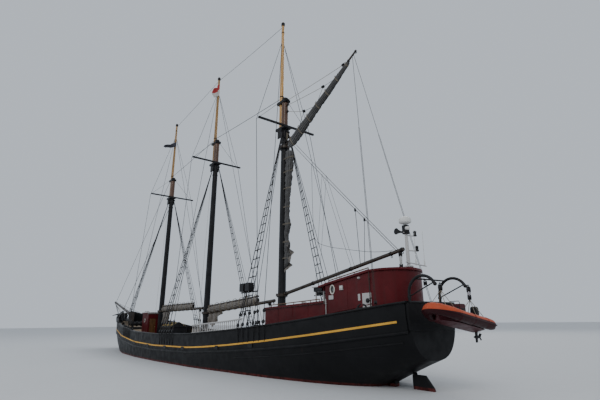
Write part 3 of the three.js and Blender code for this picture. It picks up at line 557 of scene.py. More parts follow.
class Finish:
    """A material with a broad and a fine pattern, built up node by node."""

    def __init__(self, name, rough=0.5, **sockets):
        self.material = bpy.data.materials.new(name)
        self.material.use_nodes = True
        self.nodes = self.material.node_tree.nodes
        self.shader = self.nodes["Principled BSDF"]
        self.shader.inputs["Roughness"].default_value = rough
        self.shader.inputs["Specular IOR Level"].default_value = SHEEN
        for label, value in sockets.items():
            self.shader.inputs[label.replace("_", " ")].default_value = value
        self.place = self.node("ShaderNodeTexCoord").outputs["Object"]

    def node(self, kind, links=(), values=(), **settings):
        made = self.nodes.new(kind)
        for key, value in settings.items():
            setattr(made, key, value)
        for label, value in dict(values).items():
            made.inputs[label].default_value = value
        for label, source in links:
            self.link(source, made.inputs[label])
        return made

    def link(self, source, target):
        self.material.node_tree.links.new(source, target)

    def grain(self, scale, stretch=(1, 1, 1), detail=5.0, rough=0.55):
        """Noise stretched along an axis: a small number there draws it out."""
        laid = self.node("ShaderNodeMapping", [("Vector", self.place)], {"Scale": stretch})
        noise_node = self.node("ShaderNodeTexNoise", [("Vector", laid.outputs["Vector"])],
                               {"Scale": scale, "Detail": detail, "Roughness": rough})
        return noise_node.outputs["Fac"]

    def between(self, value, low, high, to_low=0.0, to_high=1.0):
        made = self.node("ShaderNodeMapRange", [("Value", value)],
                         {"From Min": low, "From Max": high, "To Min": to_low, "To Max": to_high})
        return made.outputs["Result"]

    def patches(self, scale, low, high, stretch=(1, 1, 1), detail=5.0, most=1.0):
        """Noise turned into a share, 0 below a low level and most above a high one."""
        return self.between(self.grain(scale, stretch, detail), low, high, 0.0, most)

    def bricks(self, place, gap, width, row, soft, **colours):
        sizes = {"Scale": 1.0, "Mortar Size": gap, "Mortar Smooth": soft}
        sizes |= {"Brick Width": width, "Row Height": row}
        return self.node("ShaderNodeTexBrick", [("Vector", place)], {**sizes, **colours})

    def height(self, edge, soft=0.004):
        """0 below an edge, 1 above it, in the model's metres."""
        z = self.node("ShaderNodeSeparateXYZ", [("Vector", self.place)]).outputs["Z"]
        return self.between(z, edge - soft, edge + soft)

    def mix(self, share, first, second):
        made = self.node("ShaderNodeMix", data_type="RGBA")
        sockets = [s for s in made.inputs if s.type == "RGBA"]
        for socket, colour in zip(sockets, (first, second)):
            if hasattr(colour, "is_output"):
                self.link(colour, socket)
            else:
                socket.default_value = (*colour, 1.0)
        factor = next(s for s in made.inputs if s.name == "Factor" and s.type == "VALUE")
        if hasattr(share, "is_output"):
            self.link(share, factor)
        else:
            factor.default_value = share
        return next(s for s in made.outputs if s.type == "RGBA")

    def colour(self, source):
        self.link(source, self.shader.inputs["Base Color"])
        return self

    def roughness(self, value, low, high):
        self.link(self.between(value, 0.3, 0.7, low, high), self.shader.inputs["Roughness"])
        return self

    def bump(self, *layers):
        """Each layer is a height and its depth in the model's metres."""
        normal = None
        for height, depth in layers:
            made = self.node("ShaderNodeBump", [("Height", height)], {"Distance": depth, "Strength": 1.0})
            if normal is not None:
                self.link(normal, made.inputs["Normal"])
            normal = made.outputs["Normal"]
        self.link(normal, self.shader.inputs["Normal"])
        return self


def shade(colour, factor):
    return tuple(min(c * factor, 1.0) for c in colour)


def weathered(name, colour, rough=0.45, fade=1.5, dirt=(0.03, 0.026, 0.022), soiled=0.3):
    """Paint with uneven fading, soft runs of dirt and a brushed surface."""
    f = Finish(name, rough)
    coat = f.mix(f.patches(2.2, 0.35, 0.7), colour, shade(colour, fade))
    f.colour(f.mix(f.patches(9.0, 0.55, 0.78, (1, 1, 0.08), 6, soiled), coat, dirt))
    f.roughness(f.grain(7.0), rough - 0.09, rough + 0.12)
    return f.bump((f.grain(38.0, (1, 1, 0.5)), 0.0012), (f.grain(190.0), 0.00025)).material


def hull_steel(name, colour, below, rough):
    """Plated steel sides: black above the boot line, bottom paint below it, rust at the seams."""
    f = Finish(name, rough)
    topside = f.mix(f.patches(1.1, 0.35, 0.72), colour, shade(colour, 1.9))
    topside = f.mix(f.patches(10.0, 0.68, 0.88, (1, 1, 0.06), 7, 0.25), topside, (0.11, 0.052, 0.026))
    bottom = f.mix(f.patches(3.0, 0.35, 0.7), below, shade(below, 1.7))
    bottom = f.mix(f.patches(14.0, 0.42, 0.62, (1, 1, 0.4)), bottom, shade(below, 0.45))
    f.colour(f.mix(f.height(BOOT_LINE * SCALE), bottom, topside))
    f.roughness(f.grain(5.0), rough - 0.1, rough + 0.14)
    plates = f.node("ShaderNodeMapping", [("Vector", f.place)], {"Rotation": (math.radians(90), 0, 0)})
    seams = f.bricks(plates.outputs["Vector"], 0.004, 2.6, 0.62, 0.6)
    dents = f.grain(1.6, (1, 1, 1), 3)
    return f.bump((seams.outputs["Fac"], 0.0018), (dents, 0.012), (f.grain(60.0), 0.0005)).material


def varnished(name, colour, stretch=(1, 1, 0.05), rough=0.28, worn=0.25):
    """Brightwork: long grain, darker knots and a thin glossy coat."""
    f = Finish(name, rough, Coat_Weight=0.5, Coat_Roughness=0.18)
    lines = f.grain(42.0, stretch, 7, 0.62)
    wood = f.mix(f.between(lines, 0.33, 0.66), shade(colour, 0.5), colour)
    f.colour(f.mix(f.patches(2.6, 0.5, 0.75, most=worn), wood, shade(colour, 0.35)))
    f.roughness(f.grain(8.0), rough - 0.06, rough + 0.22)
    return f.bump((lines, 0.0006)).material


def deck_boards(name, colour):
    """Laid planks with dark caulked seams, grey where they are worn."""
    f = Finish(name, 0.72)
    boards = f.bricks(f.place, 0.0035, 3.2, 0.07, 0.2, Color1=(*colour, 1), Color2=(*shade(colour, 0.72), 1),
                      Mortar=(0.015, 0.013, 0.012, 1))
    grain = f.grain(30.0, (0.06, 1, 1), 7)
    worn = f.mix(f.between(grain, 0.3, 0.7, 0.0, 0.45), boards.outputs["Color"], shade(colour, 0.5))
    f.colour(f.mix(f.patches(1.7, 0.5, 0.72, most=0.5), worn, (0.3, 0.29, 0.27)))
    return f.bump((boards.outputs["Fac"], 0.002), (grain, 0.0006)).material


def sailcloth(name, colour, stain):
    """Heavy woven cloth: a fine weave, rubbed folds and rain stains."""
    f = Finish(name, 0.88, Sheen_Weight=0.25, Sheen_Roughness=0.6)
    tone = f.mix(f.patches(3.4, 0.34, 0.7, (1, 1, 0.5)), colour, shade(colour, 0.66))
    f.colour(f.mix(f.patches(11.0, 0.52, 0.74, (1, 1, 0.3), 6, 0.6), tone, stain))
    uv = f.node("ShaderNodeTexCoord").outputs["UV"]
    weave = []
    for direction in ("X", "Y"):
        threads = f.node("ShaderNodeTexWave", [("Vector", uv)], {"Scale": 700.0, "Distortion": 0.4},
                         wave_type="BANDS", bands_direction=direction)
        weave.append((threads.outputs["Fac"], 0.00035))
    return f.bump((f.grain(24.0), 0.003), *weave).material


def metal(name, colour, rough=0.5, metallic=0.0, rust=0.0):
    f = Finish(name, rough, Metallic=metallic)
    tone = f.mix(f.patches(16.0, 0.35, 0.7), colour, shade(colour, 1.6))
    f.colour(f.mix(f.patches(22.0, 0.58, 0.76, (1, 1, 0.5), 8, rust), tone, (0.12, 0.048, 0.02)))
    f.roughness(f.grain(18.0), rough - 0.1, rough + 0.15)
    return f.bump((f.grain(90.0), 0.0008)).material


def cordage(name, colour):
    """Laid rope: short slanting strands that read as a twist."""
    f = Finish(name, 0.8)
    strands = f.grain(160.0, (1, 1, 0.45), 2)
    f.colour(f.mix(f.between(strands, 0.38, 0.62), shade(colour, 0.55), colour))
    return f.bump((strands, 0.0012)).material


def window_glass(name, tint):
    f = Finish(name, 0.04, Transmission_Weight=0.85, IOR=1.45)
    f.colour(f.mix(f.patches(9.0, 0.4, 0.7, (1, 1, 0.4), most=0.5), tint, shade(tint, 0.6)))
    f.roughness(f.grain(20.0), 0.02, 0.09)
    return f.material


def scuffed(f, colour, fade):
    """A colour that has faded unevenly and carries darker scuffs."""
    tone = f.mix(f.patches(5.0, 0.38, 0.68), colour, shade(colour, fade))
    return f.mix(f.patches(26.0, 0.6, 0.8, (1, 0.4, 1), 8, 0.35), tone, shade(colour, 0.4))


def moulded(name, colour, rough=0.4, fade=1.25, grain=70.0, depth=0.0005, **sockets):
    """Plastic, rubber or coated fabric with scuffs and a faint moulded surface."""
    f = Finish(name, rough, **sockets)
    f.colour(scuffed(f, colour, fade))
    f.roughness(f.grain(12.0), rough - 0.08, rough + 0.12)
    return f.bump((f.grain(grain), depth)).material


def lamp_lens(name, colour, rough=0.15):
    return moulded(name, colour, rough, 1.1, 40.0, 0.0004, Coat_Weight=0.6)


def boat_fabric(name, above, below):
    """The boat's tubes: bright coated cloth on top, and below a line that runs along them a dark colour painted as
    the shade under the tubes.
    """
    f = Finish(name, 0.42)
    line = f.node("ShaderNodeVectorMath", [("Vector", f.place)], operation="DOT_PRODUCT")
    line.inputs[1].default_value = (0, -BOAT_RISE, 1)
    # Under this edge the tubes take the dark colour that stands for their shade
    top = f.between(line.outputs["Value"], *((BOAT_SHADE_EDGE + d) * SCALE for d in (-0.012, 0.012)))
    f.colour(f.mix(top, below, scuffed(f, above, 1.25)))
    f.roughness(f.grain(12.0), 0.34, 0.54)
    return f.bump((f.grain(240.0), 0.00025)).material


BOOT_LINE = 0.12
# The boat's tubes: their rise to port, and the heights on the centre line of their middle and of the edge of their
# painted shade
BOAT_RISE, BOAT_MIDDLE, BOAT_SHADE_EDGE = 0.17, 2.624, 2.69


def make_looks(paint):
    """Every material of the ship, from the colours in the panel."""
    c = {key: tuple(getattr(paint, key)) for key in PaintSettings.__annotations__}
    return {
        "hull": hull_steel("Hull black over bottom red", c["hull"], c["bottom"], 0.5),
        "stripe": weathered("Yellow cove line", c["stripe"], 0.5, 1.2, soiled=0.2),
        "rail": weathered("Rail black", shade(c["hull"], 1.3), 0.4, 1.6),
        "deck": deck_boards("Deck boards", c["deck"]),
        "house": weathered("Deckhouse maroon", c["house"], 0.42, 1.45, soiled=0.35),
        "roof": weathered("Roof grey", (0.2, 0.19, 0.18), 0.75, 1.3, soiled=0.5),
        "white": weathered("Weathered white", c["white"], 0.42, 1.1, (0.2, 0.17, 0.13), 0.35),
        "black": weathered("Mast black", (0.0085, 0.0085, 0.0095), 0.33, 2.2, (0.06, 0.055, 0.05), 0.15),
        "topmast": varnished("Golden topmast", c["topmast"]),
        "bright": varnished("Bright topmast", shade(c["topmast"], 1.5)),
        "masthead": varnished("Brown masthead", c["masthead"], rough=0.5, worn=0.5),
        "spar": varnished("Dark oiled spar", c["spar"], (0.05, 1, 1), 0.45, 0.5),
        "teak": varnished("Oiled teak", (0.16, 0.075, 0.028), (1, 0.3, 0.07), 0.4, 0.4),
        "iron": metal("Black ironwork", (0.018, 0.018, 0.019), 0.48, 0.35, 0.25),
        "galvanised": metal("Galvanised steel", (0.26, 0.27, 0.28), 0.45, 0.85, 0.15),
        "bronze": metal("Propeller bronze", (0.42, 0.27, 0.11), 0.38, 1.0, 0.0),
        "brass": metal("Window brass", (0.5, 0.37, 0.16), 0.3, 1.0, 0.0),
        "bezel": metal("Pale window rings", (0.42, 0.4, 0.36), 0.4, 0.6, 0.0),
        "wire": metal("Tarred wire", (0.022, 0.021, 0.022), 0.6, 0.2, 0.0),
        "rope": cordage("Dark rope", (0.05, 0.044, 0.038)),
        "line": cordage("Pale rope", (0.3, 0.26, 0.2)),
        "tackle": cordage("Maroon tackle rope", (0.1, 0.02, 0.03)),
        "canvas": sailcloth("Beige sailcloth", c["canvas"], (0.13, 0.11, 0.09)),
        "storm": sailcloth("Grey sailcloth", c["storm"], (0.035, 0.034, 0.034)),
        # The tubes' dark second colour is painted shade on their lower sides
        "tube": boat_fabric("Orange coated fabric with painted shade below", c["tube"], (0.03, 0.006, 0.008)),
        "boat": moulded("Maroon boat bottom", (0.06, 0.012, 0.016), 0.4),
        "plastic": moulded("Black moulded plastic", (0.012, 0.012, 0.013), 0.36),
        "dome": moulded("White moulded plastic", (0.62, 0.62, 0.6), 0.35, 1.05),
        "glass": window_glass("Window glass", (0.4, 0.46, 0.46)),
        "lens": lamp_lens("Lamp lens", (0.5, 0.52, 0.5), 0.12),
        "red_lens": lamp_lens("Red lamp lens", (0.3, 0.01, 0.012)),
        "green_lens": lamp_lens("Green lamp lens", (0.01, 0.16, 0.05)),
        "flag_dark": sailcloth("Dark flag cloth", (0.035, 0.035, 0.05), (0.02, 0.02, 0.02)),
        "flag_red": sailcloth("Red flag cloth", (0.42, 0.03, 0.03), (0.2, 0.02, 0.02)),
        "flag_white": sailcloth("White flag cloth", (0.55, 0.53, 0.5), (0.3, 0.28, 0.25)),
    }


# Hull, rails and deck


def hull_skins():
    sides = ("hull", "bulwark_port", "bulwark_starboard", "bulwark_transom")
    skins(sides, "hull", "hull_paint", bevel=0.012, angle=28)
    skins(("deck_aft", "deck_waist", "deck_midships", "deck_fore"), "deck", "deck_planks")
    skin("rudder", "hull", "hull_paint", bevel=0.015)


STRIPE_DROP = Table([(-21.1, 0.65), (-16.0, 0.66), (-8.0, 0.78), (8.0, 0.74), (19.6, 0.66)])


def stations(start, end, step):
    count = max(round((end - start) / step), 1)
    return [start + (end - start) * i / count for i in range(count + 1)]


def along_side(shape, xs, drop, section, side):
    """Carries a section along the ship's side, at a drop below the rail."""
    path = [side_point(x, rail_top(x) - drop(x), side)[0] for x in xs]
    normals = {round(p.x, 3): side_point(p.x, p.z, side)[1] for p in path}
    shape.sweep(path, section, lambda p: normals[round(p.x, 3)])


# Rubbing strakes: first x, last x, drop below the rail, width and thickness
STRAKES = ((-21.5, 20.4, 1.07, 0.13, 0.11), (-21.2, -11.0, 1.42, 0.07, 0.06))


def hull_lines():
    """The yellow cove line, the rubbing strakes and the cap rail."""
    stripe, strakes, caps = shapes(3)
    step, cap_lift = 0.7, 0.03
    for side in SIDES.values():
        along_side(stripe, stations(-21.12, 19.6, step), STRIPE_DROP, plank_section(0.024, 0.085), side)
        for start, end, drop, width, thick in STRAKES:
            section = plank_section(width, thick, 0.6)
            along_side(strakes, stations(start, end, step), lambda x: drop, section, side)
        cap = [on_rail(x, side, cap_lift) for x in stations(-21.55, 21.1, step)]
        caps.sweep(cap, plank_section(0.26, 0.075, 0.6), PORT)
    half = rail_half(-21.5) - 0.1
    aft = [at(-21.53, y, rail_top(-21.55) + cap_lift + 0.001) for y in np.linspace(half, -half, 7)]
    caps.sweep(aft, plank_section(0.25, 0.075, 0.6), AHEAD)
    place("cove_line", stripe, "stripe")
    place_all("rail", rubbing_strakes=strakes, cap_rail=caps)


FREEING_PORTS = (-12.6, -9.3, -5.2, -2.2, 1.3, 4.9, 8.1, 11.6)
CHOCKS = (-19.7, -13.2, -7.6, 6.4, 13.4, 17.4)


def bulwark_fittings():
    """Stanchions inside the bulwarks, freeing ports low on the side, and chocks on the rail."""
    stanchion = Shape().box((-0.04, -0.05, 0.0), (0.04, 0.05, BULWARK - 0.03))
    port = Shape().box((-0.24, -0.02, -0.1), (0.24, 0.02, 0.1))
    chock = Shape()
    for end in (-1, 1):
        horn = [at(end * 0.26, 0, 0), at(end * 0.2, 0, 0.1), at(end * 0.08, 0, 0.15)]
        chock.sweep(horn, round_section(0.035), PORT)
    chock.box((-0.3, -0.06, -0.02), (0.3, 0.06, 0.03))
    posts, ports, chocks = [], [], []
    for side in SIDES.values():
        posts += [on_deck(x, inboard(x, side, 0.5, 0.17)) for x in stations(-20.6, 19.0, 1.2)]
        chocks += [on_rail(x, side, 0.07) for x in CHOCKS]
        for x in FREEING_PORTS:
            point, normal = side_point(x, deck_z(x) + 0.15, side)
            ports.append((point, Matrix((AHEAD, normal - AHEAD * normal.x, UP)).transposed(), 1.0))
    repeats("bulwark_stanchions", stanchion, posts, "rail")
    repeats("freeing_ports", port, ports, "rail")
    repeats("rail_chocks", chock, chocks, "iron")


BALUSTER = [(0, 0.035), (0.12, 0.035), (0.16, 0.02), (0.3, 0.036), (0.45, 0.026), (0.8, 0.018), (0.88, 0.033),
            (1, 0.033)]


def waist_rails():
    """White turned balusters under a white rail, on the bulwark amidships."""
    start, end, lift = -11.7, -6.4, 0.44
    places, tops, covers = [], *shapes(2)
    for side in SIDES.values():
        places += [on_rail(x, side, 0.06) for x in stations(start, end, 0.2)]
        path = [on_rail(x, side, lift + 0.08) for x in stations(start - 0.05, end + 0.05, 0.7)]
        tops.sweep(path, plank_section(0.13, 0.06, 0.6), PORT)
        covers.sweep([p - UP * (lift + 0.02) for p in path], plank_section(0.2, 0.05, 0.7), PORT)
    repeats("waist_balusters", turned(0, lift, BALUSTER, 8), places, "white")
    place_all("white", waist_rail_tops=tops, waist_rail_covers=covers)


# Deckhouses


# Round windows in the side walls: x, wall's y, z, width, height
WINDOWS = [
    (-17.28, 1.4, 4.02, 0.26, 0.36), (-12.7, -1.4, 2.75, 0.32, 0.32), (-14.1, -1.4, 2.75, 0.32, 0.32),
    (-15.5, -1.4, 2.75, 0.32, 0.32), (11.0, 1.0, 2.9, 0.3, 0.3), (11.0, -1.0, 2.9, 0.3, 0.3),
    (-17.28, -1.4, 4.02, 0.26, 0.36),
]
# Square windows in the wheelhouse's front: their ys, and each frame bar's y, z, width and height
FRONT_WINDOWS = (-0.85, 0.0, 0.85)
FRONT_BARS = (
    (0, 0.185, 0.76, 0.05), (0, -0.185, 0.76, 0.05), (0.355, 0, 0.05, 0.42), (-0.355, 0, 0.05, 0.42),
)
WHEEL_FRONT = -16.78


def oval(centre, across, up, width, height, steps=28):
    return [centre + p for p in spokes(across * width / 2, up * height / 2, steps)]


def ring_frame(centre, out, width, height, bar=0.045):
    """The rings of a rounded frame that stands proud of a side wall."""
    section = ((-0.02, -0.01), (-0.02, 0.02), (0.02, 0.034), (bar, 0.02), (bar, -0.01))
    return [oval(centre + out * lift, AHEAD, UP, width + 2 * grow, height + 2 * grow)
            for grow, lift in section]


def windows():
    frames, panes = shapes(2)
    for x, y, z, width, height in WINDOWS:
        out = PORT * math.copysign(1, y)
        frames.loft(ring_frame(at(x, y, z), out, width, height), closed=True)
        wall = at(x, y, z) - out * 0.045
        panes.loft([oval(wall + out * d, AHEAD, UP, width + 0.01, height + 0.01) for d in (-0.006, 0.006)])
    for y in FRONT_WINDOWS:
        centre = at(WHEEL_FRONT, y, 3.885)
        for dy, dz, width, height in FRONT_BARS:
            low = centre + at(-0.01, dy - width / 2, dz - height / 2)
            frames.box(low, low + at(0.045, width, height))
        panes.box(centre + at(-0.05, -0.335, -0.17), centre + at(-0.038, 0.335, 0.17))
    place("window_frames", frames, "bezel", angle=50)
    place("window_panes", panes, "glass")
HOUSES = {
    # name: aft, fore, half breadth
    "after_house": (-16.7, -11.55, 1.4),
    "wheelhouse": (-19.7, -16.78, 1.4),
    "fore_house": (10.05, 11.8, 1.0),
}


def house_skins():
    for house in HOUSES:
        skin(f"{house}_walls", "house", "house_paint", bevel=0.012)
        roof = "house" if house == "wheelhouse" else "roof"
        skin(f"{house}_roof", roof, f"{roof}_paint", bevel=0.02)


def roof_point(house, x, y):
    return ROOF_TREES[house].ray_cast(at(x, y, 9), -UP)[0]


def wall_top(house, x):
    hit = roof_point(house, x, HOUSES[house][2] - 0.03)
    return real(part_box(f"{house}_walls")[1]).z if hit is None else hit.z


ROOF_TREES = {house: tree_of(f"{house}_roof") for house in HOUSES}
BAND_LIFT = 1.25


def house_trim():
    """Roof edges, the moulding low on each wall, and panel seams."""
    edges, bands, seams = shapes(3)
    for house, (aft, fore, half) in HOUSES.items():
        for side in SIDES.values():
            xs = stations(aft, fore, 0.6)
            eaves = [at(x, side * (half + 0.075), wall_top(house, x) - 0.045) for x in xs]
            edges.sweep(eaves, plank_section(0.03, 0.1, 0.5), PORT)
            band = [on_deck(x, side * (half + 0.012), BAND_LIFT) for x in xs]
            bands.sweep(band, plank_section(0.03, 0.055, 0.7), PORT)
            for x in stations(aft, fore, 1.45)[1:-1]:
                low = on_deck(x, side * (half + 0.004), 0.02)
                high = at(x, low.y, wall_top(house, x) - 0.1)
                seams.sweep([low, high], plank_section(0.012, 0.05, 0.6), PORT)
    place_all("house", roof_edges=edges, house_mouldings=bands, wall_seams=seams)


# Plates on the wheelhouse's port wall: x, z, width, height
WALL_PLATES = ((-17.19, 3.67, 0.32, 0.19), (-19.0, 3.59, 0.13, 0.28), (-19.44, 3.43, 0.51, 0.63))


def on_wall(x, z, out=0.0):
    return at(x, HOUSES["wheelhouse"][2] + out, z)


def wheelhouse_fittings():
    """Pale lamps, blank plates, a socket and pipes on the port wall, as they hang on the real ship."""
    plates, white, lens, pipe, socket = shapes(5)
    for x, z, width, height in WALL_PLATES:
        corner = at(width / 2, 0, height / 2)
        plates.box(on_wall(x, z, 0.004) - corner, on_wall(x, z, 0.026) + corner)
    plates.box(on_wall(-18.02, 3.96, 0.004), on_wall(-17.82, 4.16, 0.07))
    pipes = (
        # shape, x, radius, how far it stands off, heights of its bends and of its clips
        (pipe, -19.66, 0.018, 0.05, (2.3, 3.4, 4.62), (2.7, 3.5, 4.3)),
        (white, -16.84, 0.022, 0.045, (2.0, 2.9, 3.62), (2.4, 3.4)),
    )
    for shape, x, radius, stand, bends, clips in pipes:
        shape.sweep([on_wall(x, z, stand) for z in bends], round_section(radius), AHEAD)
        for z in clips:
            shape.box(on_wall(x - 0.04, z, -0.005), on_wall(x + 0.04, z + 0.03, stand + 0.025))
    rounds = (
        # shape, x, z, inner and outer end off the wall, profile, sides
        (lens, -17.92, 4.06, 0.055, 0.11, [(0, 0.075), (0.5, 0.065), (0.85, 0.04), (1, 0.02)], 20),
        (white, -19.05, 4.4, -0.01, 0.1, [(0, 0.055), (0.5, 0.055), (1, 0.035)], 14),
        (socket, -19.5, 3.43, 0.026, 0.07, [(0, 0.095), (0.6, 0.095), (1, 0.06)], 20),
    )
    for shape, x, z, inner, outer, profile, sides in rounds:
        shape.lathe(on_wall(x, z, inner), on_wall(x, z, outer), profile, sides)
    socket.box(on_wall(-19.68, 3.4, 0.026), on_wall(-19.5, 3.45, 0.045))
    place("wall_plates", plates, "white", bevel=0.006)
    place("wall_pipes_and_lamps", white, "white")
    place("wall_lamp_glass", lens, "lens")
    place("wall_pipe", pipe, "rope")
    place("wall_socket", socket, "black", angle=50)


def visor():
    """The dark hood with a pale top that shades the wheelhouse's forward windows."""
    hood, top, posts = shapes(3)
    hood.box((-16.32, -1.22, 4.02), (-15.66, 1.22, 4.22))
    top.box((-16.3, -1.27, 4.222), (-15.6, 1.27, 4.262))
    for y in (-1.1, 1.1):
        for x in (-15.75, -16.34):
            posts.box((x, y - 0.025, 3.55), (x + 0.05, y + 0.025, 4.06))
    place("wheelhouse_hood", hood, "black", bevel=0.03)
    place("wheelhouse_hood_top", top, "white", bevel=0.012)
    place("wheelhouse_hood_posts", posts, "white")


DOORS = {
    # hinge pin, way to the free edge, way out, x of its sill, end of its panels from the hinge
    "after_house_door": (at(-11.5342, 0.87, 0), -PORT, AHEAD, -11.55, 0.6),
    "wheelhouse_door": (at(-18.18, -1.4158, 0), -AHEAD, -PORT, -18.2, 0.6),
    "fore_house_door": (at(10.0342, 0.87, 0), -PORT, -AHEAD, 10.05, 0.5),
}
KNOB = [(0, 0.035), (0.15, 0.03), (0.3, 0.012), (0.55, 0.014), (0.75, 0.032), (1, 0.02)]


def door_faces():
    """Varnished leaves with sunk panels and a brass knob."""
    near, bar = 0.13, 0.04
    for node, (pin, free, out, sill_x, far) in DOORS.items():
        skin(node, "teak", "varnish", bevel=0.006)
        foot = pin - out * 0.0008 + UP * (deck_z(sill_x) + 0.14)
        panels, knob = shapes(2)
        for low, high in ((0.95, 1.5), (0.14, 0.82)):
            for a, b, c, d in ((near, far, low, low + bar), (near, far, high - bar, high),
                               (near, near + bar, low, high), (far - bar, far, low, high)):
                corners = [foot + free * a + UP * c - out * 0.012, foot + free * b + UP * d + out * 0.014]
                panels.box([min(v) for v in zip(*corners)], [max(v) for v in zip(*corners)])
        hub = foot + free * (far + 0.06) + UP * 0.85
        knob.lathe(hub - out * 0.01, hub + out * 0.075, KNOB, 14)
        place(f"{node}_panels", panels, "teak", node, "varnish", bevel=0.005)
        place(f"{node}_knob", knob, "brass", node)


# Houses with the ends of their grab rails, and the places of the vents
GRAB_RAILS = (("after_house", -16.2, -12.0), ("fore_house", 10.3, 11.6), ("wheelhouse", -19.5, -16.9))
VENTS = (("after_house", -12.2, -0.9), ("after_house", -16.1, 0.85), ("fore_house", 11.4, -0.55))
VENT = [(0, 0.1), (0.1, 0.07), (0.55, 0.07), (0.6, 0.15), (0.72, 0.15), (0.9, 0.09), (1, 0.02)]


def house_roofs():
    """Grab rails along the roofs, and mushroom vents."""
    rails, feet = Shape(), []
    for house, start, end in GRAB_RAILS:
        half = HOUSES[house][2] - 0.12
        for side in SIDES.values():
            tops = [roof_point(house, x, side * half) for x in stations(start, end, 0.75)]
            rails.sweep([p + UP * 0.11 for p in tops], plank_section(0.04, 0.05, 0.8), PORT)
            feet += tops
    place("roof_grab_rails", rails, "teak")
    repeats("roof_rail_feet", turned(-0.02, 0.1, [(0, 0.035), (0.3, 0.02), (1, 0.016)], 8), feet, "teak")
    repeats("mushroom_vents", turned(-0.03, 0.34, VENT, 18), [roof_point(*row) for row in VENTS], "white")


# Spars and ironwork


def spar_skins():
    for name, mast in MASTS.items():
        skin(f"{name}_lower_mast", "black", "mast_paint", angle=40)
        skin(f"{name}_topmast", "bright" if name == "mizzen" else "topmast", "varnish", angle=40)
        skin(f"{name}_crosstrees", "iron", "iron", bevel=0.015)
        wood, iron = shapes(2)
        ends = mast.point(mast.trees + 0.12), mast.point(mast.cap - 0.36)
        wood.rod(*ends, mast.radius(mast.trees) + 0.012, mast.radius(mast.cap) + 0.012, 24)
        place(f"{name}_masthead", wood, "masthead", slot="varnish", angle=40)
        truck = mast.top(mast.truck - 0.3), mast.top(mast.truck + 0.004)
        iron.lathe(*truck, [(0, 0.1), (0.1, 0.132), (0.75, 0.136), (1, 0.08)], 18)
        for z in (mast.cap - 0.25, mast.trees - 0.5, mast.trees - 1.1):
            iron.rod(mast.point(z), mast.point(z + 0.1), mast.radius(z) + 0.02, sides=24)
        for z, *radii in ((mast.cap + 0.25, 0.15, 0.149), (mast.truck - 0.9, 0.112, 0.11)):
            iron.rod(mast.top(z), mast.top(z + 0.07), *radii, 20)
        for y in (-0.3, 0.3):
            iron.ball(mast.point(mast.trees - 0.25, -0.05, y), 0.085)
        place(f"{name}_mast_bands", iron, "iron")
    booms = [f"{name}_boom" for name in MASTS]
    gaffs = [f"{name}_gaff" for name in MASTS]
    skins((*booms, *gaffs, "bowsprit"), "spar", "varnish", angle=40)


# Standing rigging


# How far abaft the mast each side's shrouds stand: three with ratlines, one more, two up to the topmast
SHROUDS = (-0.45, -0.9, -1.35)
AFTER_SHROUD, TOPMAST_SHROUD, BACKSTAY = -1.85, -2.3, -2.75
DEADEYE = [(0, 0.07), (0.2, 0.095), (0.4, 0.1), (0.5, 0.085), (0.6, 0.1), (0.8, 0.095), (1, 0.07)]


def shroud_head(mast, dx, side):
    if dx == BACKSTAY:
        return mast.top(mast.truck - 1.7, 0, side * 0.07)
    if dx == TOPMAST_SHROUD:
        return mast.point(mast.trees + 0.02, 0.02, side * mast.trees_half)
    return mast.point(mast.trees - 0.14, -0.1, side * 0.2)


def standing_rigging():
    """Shrouds on deadeyes, with ratlines, chain plates and a pole across their feet."""
    wires, tops, rungs, lanyards, deadeyes, plates, poles = ([] for _ in range(7))
    for mast, side in ((mast, side) for mast in MASTS.values() for side in SIDES.values()):
        ladder = []
        for dx in (*SHROUDS, AFTER_SHROUD, TOPMAST_SHROUD, BACKSTAY):
            foot, head = on_rail(mast.foot.x + dx, side, 0.06, 0.06), shroud_head(mast, dx, side)
            if dx == TOPMAST_SHROUD:
                tops.append(([head, shroud_head(mast, BACKSTAY, side)], 0.014))
            lead = (head - foot).normalized()
            low, high = foot + lead * 0.16, foot + lead * 0.71
            wires.append(([high + lead * 0.1, head], 0.022 if dx in SHROUDS else 0.016))
            turn = facing(lead, side_point(foot.x, foot.z - 0.4, side)[1])
            deadeyes += [(low, turn, 1.0), (high, turn, 1.0)]
            for shift in (-0.05, 0, 0.05):
                along = turn @ AHEAD * shift
                lanyards.append(([low + along, high + along], 0.011))
            plate, normal = side_point(foot.x, foot.z - 0.75, side)
            plates.append(([low, foot + normal * 0.02, plate + normal * 0.012], 0.022))
            if dx in SHROUDS:
                ladder.append((high, head))
        ends = [low.lerp(high, 0.012) for low, high in (ladder[0], ladder[-1])]
        out = (ends[1] - ends[0]).normalized() * 0.1
        poles.append(([ends[0] - out, ends[1] + out], 0.022))
        rise = ladder[0][1].z - ladder[0][0].z
        for rung in np.arange(0.42, rise - 0.55, 0.52):
            rungs.append(([low.lerp(high, rung / (high.z - low.z)) for low, high in ladder], 0.027))
    # CAD draws each gang as one net, which these wires stand for
    nets = [f"{name}_shrouds_{side}" for name in MASTS for side in SIDES]
    ropes("lower_shrouds", wires + tops, "wire", replaces=nets)
    ropes("ratlines", rungs, "rope")
    ropes("lanyards", lanyards, "rope", sides=5)
    ropes("chain_plates", plates, "iron")
    ropes("sheer_poles", poles, "iron", sides=8)
    eye = Shape().lathe(PORT * -0.045, PORT * 0.045, DEADEYE, 16)
    repeats("deadeyes", eye, deadeyes, "black", angle=50)


BOWSPRIT = (at(19.4, 0, 3.62), at(27.2, 0, 5.35))


def on_bowsprit(share, side=0.0, up=0.0):
    return BOWSPRIT[0].lerp(BOWSPRIT[1], share) + PORT * side + UP * up


